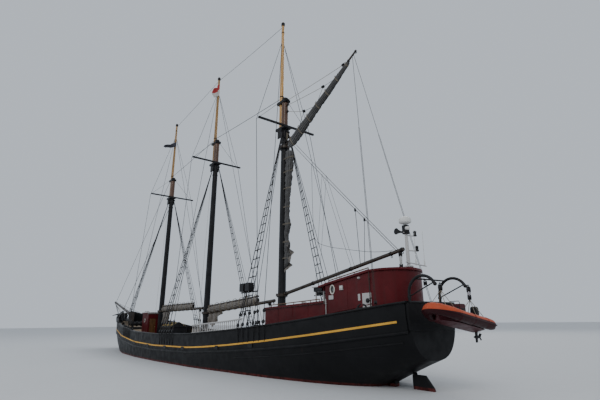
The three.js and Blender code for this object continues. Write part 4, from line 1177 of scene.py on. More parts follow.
def stays():
    """The wires along the middle of the ship, from truck to truck and down to the bowsprit."""
    wires = []
    fore, main, mizzen = MASTS.values()
    for a, b in ((fore, main), (main, mizzen)):
        wires.append((span(a.top(a.truck - 0.35, -0.05), b.top(b.truck - 0.35, 0.05), 8, 0.05), 0.014))
        wires.append((span(a.top(a.cap + 0.25, -0.09), b.top(b.cap + 0.2, 0.09), 8, 0.03), 0.018))
    for mast in (fore, main, mizzen):
        for side in SIDES.values():
            end = mast.point(mast.trees + 0.03, 0.02, side * mast.trees_half)
            wires.append(([mast.point(mast.cap - 0.1, 0, side * 0.12), end], 0.012))
    wires.append(([fore.top(fore.cap + 0.2, 0.09), on_bowsprit(0.94, 0, 0.09)], 0.018))
    ropes("truck_stays", wires, "wire")
    skin("forestay", "wire", "wire", angle=60)


# Sails, furled in deep gathers along their spars


def gathered(name, spar, rows, around, folds, material, body, replaces, seed, loose=0.13):
    """Cloth gathered in folds round a spar.

    spar gives a point and the way up for each share of its length; rows are share, half breadth, low and high
    edges off the spar's line; around is how far the cloth goes round, in degrees, from its open side.
    """
    steps, count, ties = 120, folds * 8, 9
    table = Table(rows)
    grid = []
    for i in range(steps + 1):
        share = rows[0][0] + (rows[-1][0] - rows[0][0]) * i / steps
        centre, up, across = spar(share)
        wide, low, high = table.row(share)
        middle, half = (low + high) / 2, (high - low) / 2
        tied = 1 - 0.16 * max(0.0, math.cos(2 * math.pi * i / steps * ties)) ** 6
        ring = []
        for j in range(count + 1):
            u = j / count
            turn = math.radians(around[0] + (around[1] - around[0]) * u)
            cos, sin = math.cos(turn), math.sin(turn)
            swell = 1 + loose * wobble(share * 7, cos * 1.3 + seed, sin * 1.3)
            crease = math.cos(2 * math.pi * folds * (u + 0.03 * wobble(share * 5, seed, u * 3)))
            lump = swell * (1 - 0.2 * (0.5 - 0.5 * crease)) * tied
            ring.append(centre + across * wide * lump * cos + up * (middle + half * lump * sin))
        grid.append(ring)
    return sheet_of(name, grid, SAIL_THICK, material, body, replaces)


def sheet_of(name, grid, thick, material, body, replaces=()):
    """Cloth of some thickness from a grid of points, laid out flat by its own lengths."""
    rows, columns = len(grid), len(grid[0])
    faces = []
    for corner in (i * columns + j for i in range(rows - 1) for j in range(columns - 1)):
        faces.append([corner, corner + 1, corner + columns + 1, corner + columns])
    mesh = mesh_of(name, [p for ring in grid for p in ring], faces)
    wide = sum((b - a).length for ring in grid for a, b in zip(ring, ring[1:])) / rows * SCALE
    middle = [ring[columns // 2] for ring in grid]
    long = sum((b - a).length for a, b in zip(middle, middle[1:])) * SCALE
    cloth = mesh.uv_layers.new(name="Cloth")
    for loop in mesh.loops:
        i, j = divmod(loop.vertex_index, columns)
        cloth.data[loop.index].uv = (i / (rows - 1) * long, j / (columns - 1) * wide)
    soften(mesh, 180)
    piece = object_of(name, mesh)
    shell = piece.modifiers.new("Cloth", "SOLIDIFY")
    shell.thickness = thick * SCALE
    shell.offset = 0
    settle(piece, material, body, replaces)
    return piece


class Spar:
    """A boom or gaff, as a line from its mast and the ways up and across it."""

    def __init__(self, mast, z, rise, reach, body):
        lift = math.radians(rise)
        self.start = MASTS[mast].point(z)
        self.along = at(-math.cos(lift), 0, math.sin(lift))
        self.up = at(math.sin(lift), 0, math.cos(lift))
        self.reach = reach
        self.body = body

    def point(self, distance, up=0.0, side=0.0):
        return self.start + self.along * distance + self.up * up + PORT * side

    def __call__(self, share):
        return self.point(share), self.up, PORT


SPARS = {
    # mast, height at the mast, rise in degrees, length, body
    "fore_boom": Spar("fore", 3.75, 0.0, 9.7, "fore_spars"),
    "main_boom": Spar("main", 3.36, 3.0, 9.6, "main_spars"),
    "mizzen_boom": Spar("mizzen", 4.15, 8.9, 9.38, "mizzen_boom"),
    "mizzen_gaff": Spar("mizzen", 13.6, 26.3, 7.71, "mizzen_gaff"),
}


def lashings(name, spar, rows, ends, body):
    """Turns of rope round a furled sail and its spar."""
    table, clear = Table(rows), 0.02
    lines = []
    for share in ends:
        wide, low, high = table.row(share)
        low, high = min(low, -0.13), max(high, 0.13)
        middle, half = (low + high) / 2, (high - low) / 2
        for shift in (-0.022, 0.022):
            centre, up, across = spar(share + shift)
            loop = spokes(across * (wide * 0.9 + clear), up * (half * 0.97 + clear), 26)
            lines.append(([centre + up * middle + p for p in (*loop, loop[0])], 0.012))
    return ropes(name, lines, "line", body, sides=5)


SAIL_THICK, FLAG_THICK = 0.003, 0.002
# Cloth that hangs: distance along its spar, and its top and foot off the spar's line
LOOSE_ROWS = {
    "fore": [
        (0.42, -0.08, -0.5), (0.8, -0.09, -1.1), (1.3, -0.09, -1.42), (1.8, -0.09, -1.0), (2.3, -0.09, -0.3)],
    "main": [
        (0.42, -0.08, -0.35), (0.9, -0.09, -1.15), (1.5, -0.09, -1.0), (2.1, -0.09, -0.45),
        (2.6, -0.09, -0.2)],
    "mizzen": [
        (5.5, -0.25, -0.4), (5.9, -0.25, -0.9), (6.5, -0.25, -1.0), (7.0, -0.25, -0.75), (7.6, -0.25, -0.45)],
}
LOW_ROWS = [
    (0.42, 0.2, 0.0, 0.34), (1.1, 0.25, -0.05, 0.41), (3.1, 0.25, -0.06, 0.42), (5.0, 0.23, -0.04, 0.41),
    (6.8, 0.19, 0.0, 0.4), (7.7, 0.14, 0.05, 0.38),
]
GAFF_ROWS = [
    (0.48, 0.09, -0.52, 0.02), (0.75, 0.12, -0.62, 0.03), (1.15, 0.2, -0.7, 0.04), (2.2, 0.21, -0.61, 0.04),
    (3.9, 0.18, -0.47, 0.04), (5.4, 0.14, -0.41, 0.03), (6.95, 0.07, -0.23, 0.02),
]
MAST_ROWS = [
    (5.76, 0.08, 0.24, 0.42), (6.0, 0.12, 0.24, 0.76), (6.45, 0.14, 0.24, 0.84), (6.8, 0.12, 0.23, 0.6),
    (7.05, 0.13, 0.23, 0.77), (7.6, 0.1, 0.23, 0.55), (7.95, 0.13, 0.23, 0.66), (8.3, 0.15, 0.23, 0.84),
    (8.9, 0.12, 0.22, 0.64), (10.0, 0.12, 0.22, 0.68), (10.6, 0.13, 0.22, 0.76), (11.2, 0.14, 0.21, 0.88),
    (12.2, 0.15, 0.2, 1.0), (12.9, 0.16, 0.2, 1.06), (13.1, 0.13, 0.2, 0.95), (13.24, 0.1, 0.2, 0.7),
]


def sails():
    """Furled sails with their ties. Those of the mizzen hang along its gaff and down its mast."""
    mizzen = MASTS["mizzen"]
    for number, mast in enumerate(("fore", "main")):
        spar = SPARS[f"{mast}_boom"]
        gathered(f"{mast}_furled_sail", spar, LOW_ROWS, (-62, 242), 11, "canvas", spar.body,
                 [f"{mast}_sail"], 3.1 * number)
        ties = [(share, wide, low, high + 0.2) for share, wide, low, high in LOW_ROWS]
        lashings(f"{mast}_sail_ties", spar, ties, [0.9 + 0.93 * i for i in range(8)], spar.body)
    fore_boom, main_boom = SPARS["fore_boom"], SPARS["main_boom"]
    loose_cloth("fore", fore_boom, fore_boom.body, 0.4)
    loose_cloth("mizzen", mizzen, "ship", 1.1)
    loose_cloth("main", main_boom, main_boom.body, 2.1)
    spar = SPARS["mizzen_gaff"]
    gathered("mizzen_gaff_furled_sail", spar, GAFF_ROWS, (118, 422), 11, "storm",
             "mizzen_gaff", ["mizzen_gaff_sail"], 7.7)
    lashings("mizzen_gaff_ties", spar, GAFF_ROWS, [0.9 + 0.98 * i for i in range(7)], "mizzen_gaff")

    def down(z):
        return mizzen.point(z), -mizzen.ahead, PORT

    gathered("mizzen_mast_furled_sail", down, MAST_ROWS, (-58, 238), 9, "storm",
             "ship", ["mizzen_mast_sail"], 5.2, 0.3)
    ties = [(z, wide, -0.2, high) for z, wide, _, high in MAST_ROWS]
    lashings("mizzen_mast_ties", down, ties, (6.3, 7.3, 8.4, 9.5, 10.7, 11.8, 12.7), "ship")


def loose_cloth(name, spar, body, seed):
    """Cloth that has come loose from its ties and hangs in folds."""
    rows = LOOSE_ROWS[name]
    table = Table(rows)
    along, across = 60, 28
    grid = []
    for i in range(along + 1):
        share = rows[0][0] + (rows[-1][0] - rows[0][0]) * i / along
        high, low = table.row(share)
        ring = []
        for v in (j / across for j in range(across + 1)):
            wide_fold = 0.09 * math.sin(share * 8 + seed + 1.3 * v) * (0.35 + v)
            fold = wide_fold + 0.045 * math.sin(share * 19 + seed * 2 - v * 3) * v
            shift = 0.06 * math.sin(v * 5 + share * 6 + seed)
            ring.append(spar.point(share + shift, high + (low - high) * v, fold))
        grid.append(ring)
    sheet_of(f"{name}_loose_cloth", grid, SAIL_THICK, "canvas", body)


def flag(name, hoist, fly, drop, colours):
    """A light flag in bands, streaming and curling from its halyard."""
    rows, columns = 28, 12
    for band, colour in enumerate(colours):
        grid = []
        for u in (i / rows for i in range(rows + 1)):
            ring = []
            for j in range(columns + 1):
                v = (band + j / columns) / len(colours)
                wave = 0.16 * math.sin(u * 7.5 + v * 2.0) * u + 0.05 * math.sin(u * 17 - v * 4) * u
                p = hoist - UP * (drop[0] * v) + fly * u + UP * (drop[1] * u * (0.6 + v * 0.5)) + PORT * wave
                ring.append(p + AHEAD * 0.1 * math.sin(u * 6 + v * 5) * u)
            grid.append(ring)
        sheet_of(f"{name}_{band + 1}", grid, FLAG_THICK, colour, "ship")


def flags():
    fore, main = MASTS["fore"], MASTS["main"]
    flag("dark_flag", fore.top(21.6, -0.35), at(0.1, 1.15, -0.9), (0.55, 0.45), ["flag_dark"])
    flag("striped_flag", main.top(23.7, -0.15), at(0.2, 0.4, -0.9), (1.2, 0.5), ["flag_red", "flag_white"])
    lines = []
    for mast in (fore, main):
        low = mast.point(deck_z(mast.foot.x) + 1.4, 0.32, 0.45)
        lines.append((span(mast.top(mast.truck - 0.05, -0.1), low, 10, 0.1), 0.007))
    ropes("flag_halyards", lines, "rope", sides=4)


# Running rigging


def block_form():
    """A wooden shell with a sheave and a becket, about as long as it is big: 1 long."""
    form = Shape()
    for y in (-0.24, 0.24):
        form.loft([oval(PORT * (y + d), AHEAD, UP, 0.72, 1.0, 12) for d in (-0.07, 0.07)])
    form.lathe(PORT * -0.17, PORT * 0.17, [(0, 0.36), (0.3, 0.36), (0.5, 0.3), (0.7, 0.36), (1, 0.36)], 12)
    form.rod(PORT * -0.36, PORT * 0.36, 0.08, sides=8)
    return form.torus(UP * 0.6, 0.12, 0.045, AHEAD, 6, 10)


def blocks(name, spots, body="ship", material="iron"):
    """Blocks at places, each a point, the way its strop pulls and a length."""
    places = [(p, facing(lead), size) for p, lead, size in spots]
    return repeats(name, block_form(), places, material, body, angle=45)


def tackle(a, b, parts=4, gap=0.04):
    """The falls of a purchase between two blocks."""
    across = (b - a).normalized().orthogonal().normalized()
    offsets = [across * (i - (parts - 1) / 2) * gap for i in range(parts)]
    return [([a + o, b + o * 0.6], 0.011) for o in offsets]


# A slack line over the mizzen boom: x, height; and two downhauls: x at the topping lift, x at the boom
# A slack line over the mizzen boom: x, height; and two downhauls: x at the topping lift, x at the boom
SLACK_LINE = ((-14.43, 7.82), (-14.66, 6.87), (-15.6, 6.42), (-16.77, 6.12), (-18.46, 5.74), (-19.6, 5.6))
DOWNHAULS = ((-17.76, -17.89), (-18.35, -18.18))
# Peak halyards' spans: their block's drop below the cap, the distance along the gaff and the rise off it
PEAK_SPANS = ((0.25, 6.6, 0.16), (0.62, 4.75, 0.5), (1.1, 2.7, 0.62))


def gaff_halyards():
    """Three spans from the masthead to the gaff, and the short throat halyard."""
    gaff, mast = SPARS["mizzen_gaff"], MASTS["mizzen"]
    halyards, at_mast, at_gaff, bridles = [], [], [], []
    for drop, distance, rise in PEAK_SPANS:
        top, low = mast.point(mast.cap - drop, -0.34), gaff.point(distance, rise)
        halyards.append((span(top, low, 12, 0.02), 0.014))
        at_mast.append((top, mast.point(mast.cap - drop, -0.1) - top, 0.2))
        at_gaff.append((low, top - low, 0.24))
        if rise > 0.3:
            bridles += [([low, gaff.point(distance + leg, 0.06)], 0.012) for leg in (-0.85, 0.85)]
    ropes("gaff_bridles", bridles, "wire", "mizzen_gaff")
    top, low = mast.point(mast.trees - 0.35, -0.34), gaff.point(0.42, 0.22)
    halyards += tackle(top, low)
    at_mast.append((top, mast.point(mast.trees - 0.35) - top, 0.24))
    at_gaff.append((low, gaff.point(0.42) - low, 0.24))
    piece = ropes("peak_halyards", halyards, "line", None)
    near = mast.point(14.8, -0.3)
    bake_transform(piece)
    blocks("masthead_blocks", at_mast)
    blocks("gaff_blocks", at_gaff, "mizzen_gaff")


def topping_lifts():
    """Lifts from the hounds to the boom's end, with lazy jacks, a slack line and downhauls."""
    boom, mast = SPARS["mizzen_boom"], MASTS["mizzen"]
    lifts, head_blocks, lift_blocks = [], [], []
    for side in (-1, 1):
        high, tip = mast.point(mast.trees - 0.55, -0.12, side * 0.2), boom.point(9.05, 0.02, side * 0.11)
        lifts.append((span(high, tip, 12, 0.06), 0.013))
        head_blocks.append((high.lerp(tip, 0.02), high - tip, 0.18))
        for distance in (3.4, 6.2):
            lifts.append((span(tip.lerp(high, 0.56), boom.point(distance, 0, side * 0.12), 8, 0.02), 0.008))

    def on_lift(x):
        """A point of the port lift, which the loop above made last."""
        return tip.lerp(high, (x - tip.x) / (high.x - tip.x))

    slack = [at(x, 0.13, z) for x, z in SLACK_LINE]
    lifts.append((smooth([on_lift(slack[0].x), *slack, boom.point(8.9, 0.1, 0.1)], 4), 0.011))
    for x, low_x in DOWNHAULS:
        lift_blocks.append((on_lift(x) - UP * 0.1, UP, 0.16))
        rise = (boom.start.x - low_x) * math.tan(math.asin(boom.along.z))
        lifts.append(([on_lift(x), at(low_x, 0.1, boom.start.z + rise + 0.05)], 0.013))
    piece = ropes("topping_lifts", lifts, "rope", None)
    turning = (at(high.x, 0, high.z - down) * SCALE for down in (1.25, 3.0))
    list(turning)
    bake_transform(piece)
    blocks("topping_lift_head_blocks", head_blocks)
    blocks("topping_lift_blocks", lift_blocks, "mizzen_boom")


def gaff_vangs():
    """Vangs from the gaff's end to the quarters."""
    gaff, reach = SPARS["mizzen_gaff"], 7.4
    vangs, low_blocks = [], []
    for side in SIDES.values():
        top, rail = gaff.point(reach, -0.02, side * 0.06), on_rail(-20.3, side, 0.2)
        pendant = top.lerp(rail, 0.37)
        vangs.append(([top, pendant], 0.012))
        vangs += [(span(pendant + PORT * s, rail + AHEAD * s, 14, 0.05), 0.01) for s in (-0.03, 0.03)]
        low_blocks.append((rail, rail - pendant, 0.18))
    piece = ropes("gaff_vangs", vangs, "rope", None)
    high = gaff.point(reach)
    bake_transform(piece)
    blocks("vang_foot_blocks", low_blocks)


def boom_sheets():
    """Each boom's sheet, down to the deck or, for the mizzen's, to the wheelhouse's roof."""
    for name, distance in (("fore_boom", 9.1), ("main_boom", 9.1), ("mizzen_boom", 9.15)):
        spar = SPARS[name]
        top = spar.point(distance, -0.16)
        foot = on_deck(top.x + 0.12, 0, 0.3)
        if name == "mizzen_boom":
            foot = at(top.x, 0, real(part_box("wheelhouse_roof")[1]).z + 0.06)
        piece = ropes(f"{name}_sheet", tackle(top, foot), "line", None)
        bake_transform(piece)
        blocks(f"{name}_sheet_block", [(top, UP, 0.24)], spar.body)
        blocks(f"{name}_sheet_foot", [(foot, -UP, 0.24)])


def boom_iron():
    """Bands, rings and cleats of each spar."""
    for name, spar in SPARS.items():
        iron = Shape()
        radius = 0.12 if "boom" in name else 0.093
        for distance in (0.5, 3.0, 6.0, spar.reach - 0.75, spar.reach - 0.12):
            band = spar.point(distance), spar.point(distance + 0.06)
            iron.rod(*band, radius - 0.02 * distance / spar.reach, sides=20)
        for distance in (spar.reach - 0.72, spar.reach - 0.09):
            iron.torus(spar.point(distance, -radius - 0.03), 0.045, 0.014, PORT, 6, 14)
        for side in (-1, 1):
            hub = spar.point(2.2, -0.02, side * (radius + 0.02))
            iron.rod(hub - spar.along * 0.13, hub + spar.along * 0.13, 0.022, 0.016, 8)
        place(f"{name}_iron", iron, "iron", spar.body, "iron")


# Stern: davits, boat and outboard


# Where the boat hangs, and each davit's y, its fall's y and the fall's material
BOAT_X = -22.72
FALLS = {"port": (1.0, 0.97, "line"), "starboard": (-1.0, -0.89, "tackle")}


def boat_z(y):
    return BOAT_MIDDLE + y * BOAT_RISE


def in_boat(across, y, up=0.0):
    """A point across and up from the middle of the boat's tubes."""
    return at(BOAT_X + across, y, boat_z(y) + up)


def smooth(points, per=6):
    """More points along a curve that passes through these, each of any length."""
    rows = [np.array(p, float) for p in points]
    rows = [2 * rows[0] - rows[1], *rows, 2 * rows[-1] - rows[-2]]
    out = []
    for a, b, c, d in zip(rows, rows[1:], rows[2:], rows[3:]):
        bends = (c - a, 2 * a - 5 * b + 4 * c - d, 3 * b - a - 3 * c + d)
        for t in np.linspace(0, 1, per, endpoint=False):
            out.append(b + 0.5 * (bends[0] * t + bends[1] * t ** 2 + bends[2] * t ** 3))
    return [*out, rows[-2]]


def swept_tube(shape, rows, sides):
    """A tube through rows of x, y, z and radius."""
    path = [Vector(row[:3]) for row in rows]
    return shape.sweep(path, round_section(1.0, sides), UP, [row[3] for row in rows])


def rounded_box(shape, low, high, radius, steps=5, taper=1.0):
    """A box with large soft corners, drawn in towards its top by taper."""
    low, high = Vector(low), Vector(high)
    middle, half = (low + high) / 2, (high - low) / 2
    quarter = np.linspace(0, math.pi / 2, steps + 1)
    corners = ((1, 1), (-1, 1), (-1, -1), (1, -1))
    rings = []
    for tilt in (*quarter, *(quarter + math.pi / 2)):
        lower = len(rings) <= steps
        z = low.z + radius * (1 - math.cos(tilt)) if lower else high.z - radius * (1 + math.cos(tilt))
        size = 1 + (taper - 1) * (z - low.z) / (high.z - low.z)
        round_off = radius * math.sin(tilt)
        ring = []
        for number, (sx, sy) in enumerate(corners):
            for turn in quarter + number * math.pi / 2:
                x = sx * (half.x - radius) + round_off * math.cos(turn)
                y = sy * (half.y - radius) + round_off * math.sin(turn)
                ring.append(at(middle.x + x * size, middle.y + y * size, z))
        rings.append(ring)
    return shape.loft(rings)


DAVIT_FOOT = [(0, 0.15), (0.06, 0.15), (0.1, 0.09), (0.9, 0.085), (1, 0.07)]


def davits():
    """Two bent arms with their falls, slings and blocks, and the bars that brace them."""
    arms, rings = shapes(2)
    falls, slings, hooks = {}, [], []
    centre_x, bend, top_z, post_x = -21.96, 0.64, 3.62, -21.32
    for name, (y, fall_y, _) in FALLS.items():
        turns = np.radians(np.linspace(0, 153, 20))
        arm = [at(centre_x + bend * math.cos(t), y, top_z + bend * math.sin(t)) for t in turns]
        foot, head = at(post_x, y, deck_z(-21.38)), arm[-1]
        post = [foot, foot.lerp(arm[0], 0.3), foot.lerp(arm[0], 0.7)]
        arms.sweep([*post, *arm], round_section(0.058, 16), PORT)
        arms.lathe(foot, foot + UP * 0.45, DAVIT_FOOT, 18)
        for z in (2.6, 3.45):
            arms.rod(at(post_x, y, z), at(post_x, y, z + 0.09), 0.075, sides=18)
        arms.ball(head, 0.075)
        top, low = at(BOAT_X, fall_y, head.z - 0.16), in_boat(0, fall_y, 0.98)
        rings.torus(top + UP * 0.13, 0.05, 0.016, AHEAD)
        hooks += [(top, UP, 0.22), (low, -UP, 0.2)]
        falls[name] = tackle(top - UP * 0.06, low + UP * 0.05, gap=0.045)
        for across, along in ((0.4, 0.34), (-0.4, 0.34), (0.4, -0.3), (-0.4, -0.3)):
            slings.append(([low - UP * 0.1, in_boat(across, fall_y + along, 0.16)], 0.012))
        rings.rod(low - UP * 0.04, low - UP * 0.17, 0.03, 0.018)
    bar = [at(centre_x + bend * 0.5, y, top_z + bend * 0.866) for y in (1.0, -1.0)]
    arms.rod(*bar, 0.03)
    for y in (1.0, -1.0):
        arms.rod(at(-21.35, y, 3.52), at(-22.5, y, 3.98), 0.024)
    hooks.append((at(-21.64, 0.35, 4.02), UP, 0.2))
    place("davit_arms", arms, "iron", slot="iron", replaces=["davits"])
    place("davit_rings", rings, "iron", slot="iron")
    for name, (_, _, material) in FALLS.items():
        ropes(f"{name}_fall", falls[name], material)
    ropes("boat_slings", slings, "line")
    blocks("fall_blocks", hooks, material="black")


BOAT_PLAN = [
    # across, along, height over the boat's line, tube radius
    (0.56, -1.42, -0.02, 0.05), (0.56, -1.3, -0.01, 0.13), (0.56, -1.12, 0.0, 0.2), (0.56, -0.4, 0.0, 0.2),
    (0.56, 0.7, 0.0, 0.2), (0.521, 1.03, 0.03, 0.2), (0.392, 1.3, 0.07, 0.2), (0.202, 1.51, 0.11, 0.2),
    (0.0, 1.6, 0.13, 0.2),
]


def boat_rows(out=0.0, up=0.0, thin=None):
    """The tube's centre line round the boat, or a line beside it: x, y, z and radius."""
    half = smooth(BOAT_PLAN, 5)
    rows = [(side * across, y, lift, radius) for side, line in ((1, half), (-1, half[-2::-1]))
            for across, y, lift, radius in line]
    centres = [in_boat(*row[:3]) for row in rows]
    moved = []
    for i, row in enumerate(rows):
        before, after = ends_of(centres, i)
        away = Vector((before.y - after.y, after.x - before.x, 0)).normalized()
        if away.x * row[0] + away.y * (row[1] - 0.4) < 0:
            away = -away
        moved.append((*(centres[i] + away * out + UP * up), thin or row[3]))
    return moved


def boat():
    """The tubes with their strake, tapes and end caps, the bottom, the grab line and the thwarts."""
    tube, strake, tapes, thwarts = shapes(4)
    beam, lean = 0.56, at(0, 1, BOAT_RISE)
    swept_tube(tube, boat_rows(), 24)
    place("boat_tubes", tube, "tube", slot="boat_tube", replaces=["boat_tube"], angle=60)
    swept_tube(strake, [row for row in boat_rows(0.197, -0.01, 0.03) if row[1] > -1.25], 8)
    place("boat_rub_strake", strake, "tube", angle=60)
    for y, across in ((-0.75, beam), (0.1, beam), (0.9, 0.545)):
        for side in (-1, 1):
            tapes.torus(in_boat(side * across, y), 0.2, 0.012, lean, 6, 28)
    for side in (-1, 1):
        hub = in_boat(side * beam, -1.42, -0.02)
        tapes.lathe(hub - PORT * 0.02, hub + PORT * 0.14, [(0, 0.02), (0.3, 0.07), (1, 0.125)], 18)
    place("boat_seam_tapes", tapes, "boat")
    skin("boat_hull", "boat", "boat_bottom", bevel=0.012)
    rows = [Vector(row[:3]) for row in boat_rows(0.1, 0.18) if row[1] > -0.9]
    grab = [(span(rows[i], rows[i + 4], 6, 0.05), 0.011) for i in range(0, len(rows) - 4, 4)]
    ropes("boat_grab_line", grab, "line")
    for y, deep in ((-0.45, 0.12), (0.55, 0.11)):
        middle = in_boat(0, y)
        thwarts.box(middle + at(-0.34, -deep, 0.1), middle + at(0.34, deep, 0.135))
    place("boat_thwarts", thwarts, "plastic", bevel=0.01)


def boat_console():
    console, hub = Shape(), in_boat(0, 0)
    rounded_box(console, hub + at(-0.215, -0.215, 0.02), hub + at(0.215, 0.165, 0.57), 0.05, 4, 0.9)
    wheel = hub + at(0, -0.27, 0.45)
    console.torus(wheel, 0.13, 0.014, at(0, 1, 0.5), 8, 24)
    console.rod(hub + at(0, -0.2, 0.42), wheel, 0.025)
    rail = ((0.18, 0.12, 0.55), (0.18, 0.16, 0.66), (-0.18, 0.16, 0.66), (-0.18, 0.12, 0.55))
    console.sweep([hub + at(*bend) for bend in rail], round_section(0.014), PORT)
    place("boat_console", console, "plastic", slot="outboard_plastic")


# The outboard's leg: height, half breadth, and its fore and after edges
OUTBOARD_LEG = (
    (0.3, 0.055, 0.0, 0.2), (0.0, 0.045, -0.01, 0.19), (-0.3, 0.032, -0.02, 0.17), (-0.68, 0.02, -0.03, 0.12),
)
GEAR_CASE = [(0, 0.052), (0.3, 0.062), (0.75, 0.045), (1, 0.012)]


def outboard():
    """The motor's cowl, leg, plate, gear case and clamps, with a band round the cowl."""
    motor, hub = Shape(), in_boat(0, -0.98)
    rounded_box(motor, hub + at(-0.14, -0.3, 0.3), hub + at(0.14, 0.01, 0.65), 0.08, 5, 0.86)
    rounded_box(motor, hub + at(-0.1, -0.22, 0.14), hub + at(0.1, -0.02, 0.33), 0.03, 3)
    motor.loft([oval(hub + at(0, -(fore + aft) / 2, z), AHEAD, PORT, half * 2, aft - fore, 16)
                for z, half, fore, aft in OUTBOARD_LEG])
    motor.loft([oval(hub + at(0, -0.12, z), AHEAD, PORT, 0.24, 0.36, 20) for z in (-0.308, -0.292)])
    motor.lathe(hub + at(0, -0.2, -0.48), hub + at(0, 0.13, -0.48), GEAR_CASE, 16)
    for x in (-0.075, 0.075):
        motor.box(hub + at(x - 0.012, -0.06, 0.02), hub + at(x + 0.012, 0.075, 0.34))
    motor.box(hub + at(-0.085, -0.02, 0.3), hub + at(0.085, 0.1, 0.33))
    place("outboard_motor", motor, "plastic", slot="outboard_plastic", replaces=["outboard"], angle=50)
    skin("outboard_propeller", "plastic", "outboard_plastic", bevel=0.003)
    band = Shape().loft([oval(hub + at(0, -0.145, z), AHEAD, PORT, 0.285, 0.315, 24) for z in (0.395, 0.412)])
    place("outboard_band", band, "plastic")


# Instruments on the pole


LAMP = [(0, 0.07), (0.2, 0.085), (0.3, 0.065), (0.7, 0.065), (0.8, 0.085), (1, 0.04)]
HORN = [(0, 0.04), (0.35, 0.05), (0.45, 0.06), (0.8, 0.1), (1, 0.14)]
RADOME = [
    (0, 0.1), (0.1, 0.2), (0.18, 0.255), (0.3, 0.268), (0.5, 0.268), (0.68, 0.255), (0.84, 0.2), (0.94, 0.12),
    (1, 0.03),
]


def on_pole(x, y, z):
    return at(x - 20.64, y, z)


def instruments():
    """The pole aft with its radome, lamps, loudhailer and aerials."""
    foot = real(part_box("instrument_pole")[0]).z
    pole, white, black = shapes(3)
    pole.lathe(on_pole(0, 0, foot), on_pole(0, 0, 6.82), [(0, 0.078), (0.55, 0.075), (0.56, 0.066), (1, 0.06)], 20)
    pole.lathe(on_pole(0, 0, foot), on_pole(0, 0, foot + 0.07), [(0, 0.2), (0.5, 0.2), (0.6, 0.13), (1, 0.1)], 20)
    for sx, sy in ((1, 1), (-1, 1), (-1, -1), (1, -1)):
        bolt = at(sx, sy, 0) * 0.15 / math.sqrt(2)
        pole.box(on_pole(-0.02, -0.02, foot + 0.02) + bolt, on_pole(0.02, 0.02, foot + 0.065) + bolt)
    white.lathe(on_pole(0, 0, 6.66), on_pole(0, 0, 7.02), RADOME, 32)
    rounded_box(black, on_pole(-0.12, -0.12, 6.22), on_pole(0.12, 0.12, 6.62), 0.03, 3)
    for y, z in ((-0.48, 6.29), (-0.54, 5.63)):
        pole.rod(on_pole(0, 0, z - 0.12), on_pole(-0.1, y, z - 0.12), 0.024)
        black.lathe(on_pole(-0.1, y, z - 0.13), on_pole(-0.1, y, z + 0.12), LAMP, 18)
    pole.rod(on_pole(0, 0, 6.28), on_pole(0, 0.3, 6.28), 0.024)
    black.lathe(on_pole(0, 0.24, 6.28), on_pole(0.04, 0.6, 6.28), HORN, 20)
    housing = [(0, 0.06), (0.1, 0.08), (0.85, 0.08), (1, 0.05)]
    white.lathe(on_pole(-0.12, 0.13, 6.45), on_pole(-0.3, 0.16, 6.42), housing, 18)
    pole.rod(on_pole(0, 0, 6.43), on_pole(-0.16, 0.14, 6.44), 0.022)
    pole.rod(on_pole(-0.08, 0.27, 4.98), on_pole(-0.08, -1.11, 4.9), 0.024)
    whips = []
    for y in (-1.02, -0.42):
        base = on_pole(-0.08, y, 4.94)
        white.lathe(base - UP * 0.05, base + UP * 0.22, [(0, 0.03), (0.4, 0.035), (1, 0.02)], 12)
        whips.append(([base + UP * 0.2, base + at(-0.03, 0, 1.5)], 0.009))
    place("instrument_post", pole, "white", slot="white_paint", replaces=["instrument_pole"])
    place("instrument_housings", white, "dome", slot="white_paint", angle=50)
    place("loudhailer_and_lamps", black, "plastic", angle=50)
    ropes("antenna_whips", whips, "dome")


# Deck gear, bow and steering


def bow_gear():
    """Bands and rings of the bowsprit, its shrouds, and the net beside it."""
    lead = (BOWSPRIT[1] - BOWSPRIT[0]).normalized()
    iron = Shape()
    for share in (0.03, 0.2, 0.42, 0.68, 0.93):
        iron.rod(on_bowsprit(share), on_bowsprit(share) + lead * 0.09, 0.182 - 0.08 * share, sides=24)
    iron.ball(BOWSPRIT[1], 0.1)
    for side in SIDES.values():
        iron.torus(on_bowsprit(0.935, side * 0.14), 0.05, 0.016, AHEAD)
    place("bowsprit_bands", iron, "iron", slot="iron")
    wires, net = [], []

    def under(share):
        """A point under the bowsprit, at a share of the net's length."""
        return on_bowsprit(0.1 + 0.835 * share, 0, -0.12)

    for side in SIDES.values():
        tip, shore = on_bowsprit(0.935, side * 0.12), on_rail(20.0, side, 0.1, 0.05)
        wires.append(([tip, shore], 0.014))
        wires.append(([tip - UP * 0.05, side_point(19.6, rail_top(19.6) - 0.9, side)[0]], 0.016))
        net += [(span(shore.lerp(tip, i / 14), under(i / 14), 5, 0.12), 0.006) for i in range(1, 13)]
        for rung in (0.25, 0.5, 0.75):
            sag = UP * 0.1 * math.sin(math.pi * rung)
            net.append(([shore.lerp(tip, i / 12).lerp(under(i / 12), rung) - sag for i in range(13)], 0.006))
    ropes("bowsprit_shrouds", wires, "wire")
    ropes("bowsprit_net", net, "line", sides=4)
    skin("bobstay", "wire", "wire", angle=60)


WARPING_DRUM = [(0, 0.24), (0.1, 0.24), (0.16, 0.16), (0.5, 0.13), (0.8, 0.16), (0.9, 0.22), (1, 0.22)]
CHAIN_WHEEL = [(0, 0.28), (0.3, 0.28), (0.5, 0.24), (0.7, 0.28), (1, 0.28)]
BITT = [(0, 0.1), (0.8, 0.085), (0.86, 0.12), (0.97, 0.12), (1, 0.09)]
BITT_PLACES = (-19.4, 13.9, 18.0)
PIN = [(0, 0.012), (0.5, 0.016), (0.53, 0.024), (0.7, 0.018), (0.9, 0.024), (1, 0.01)]


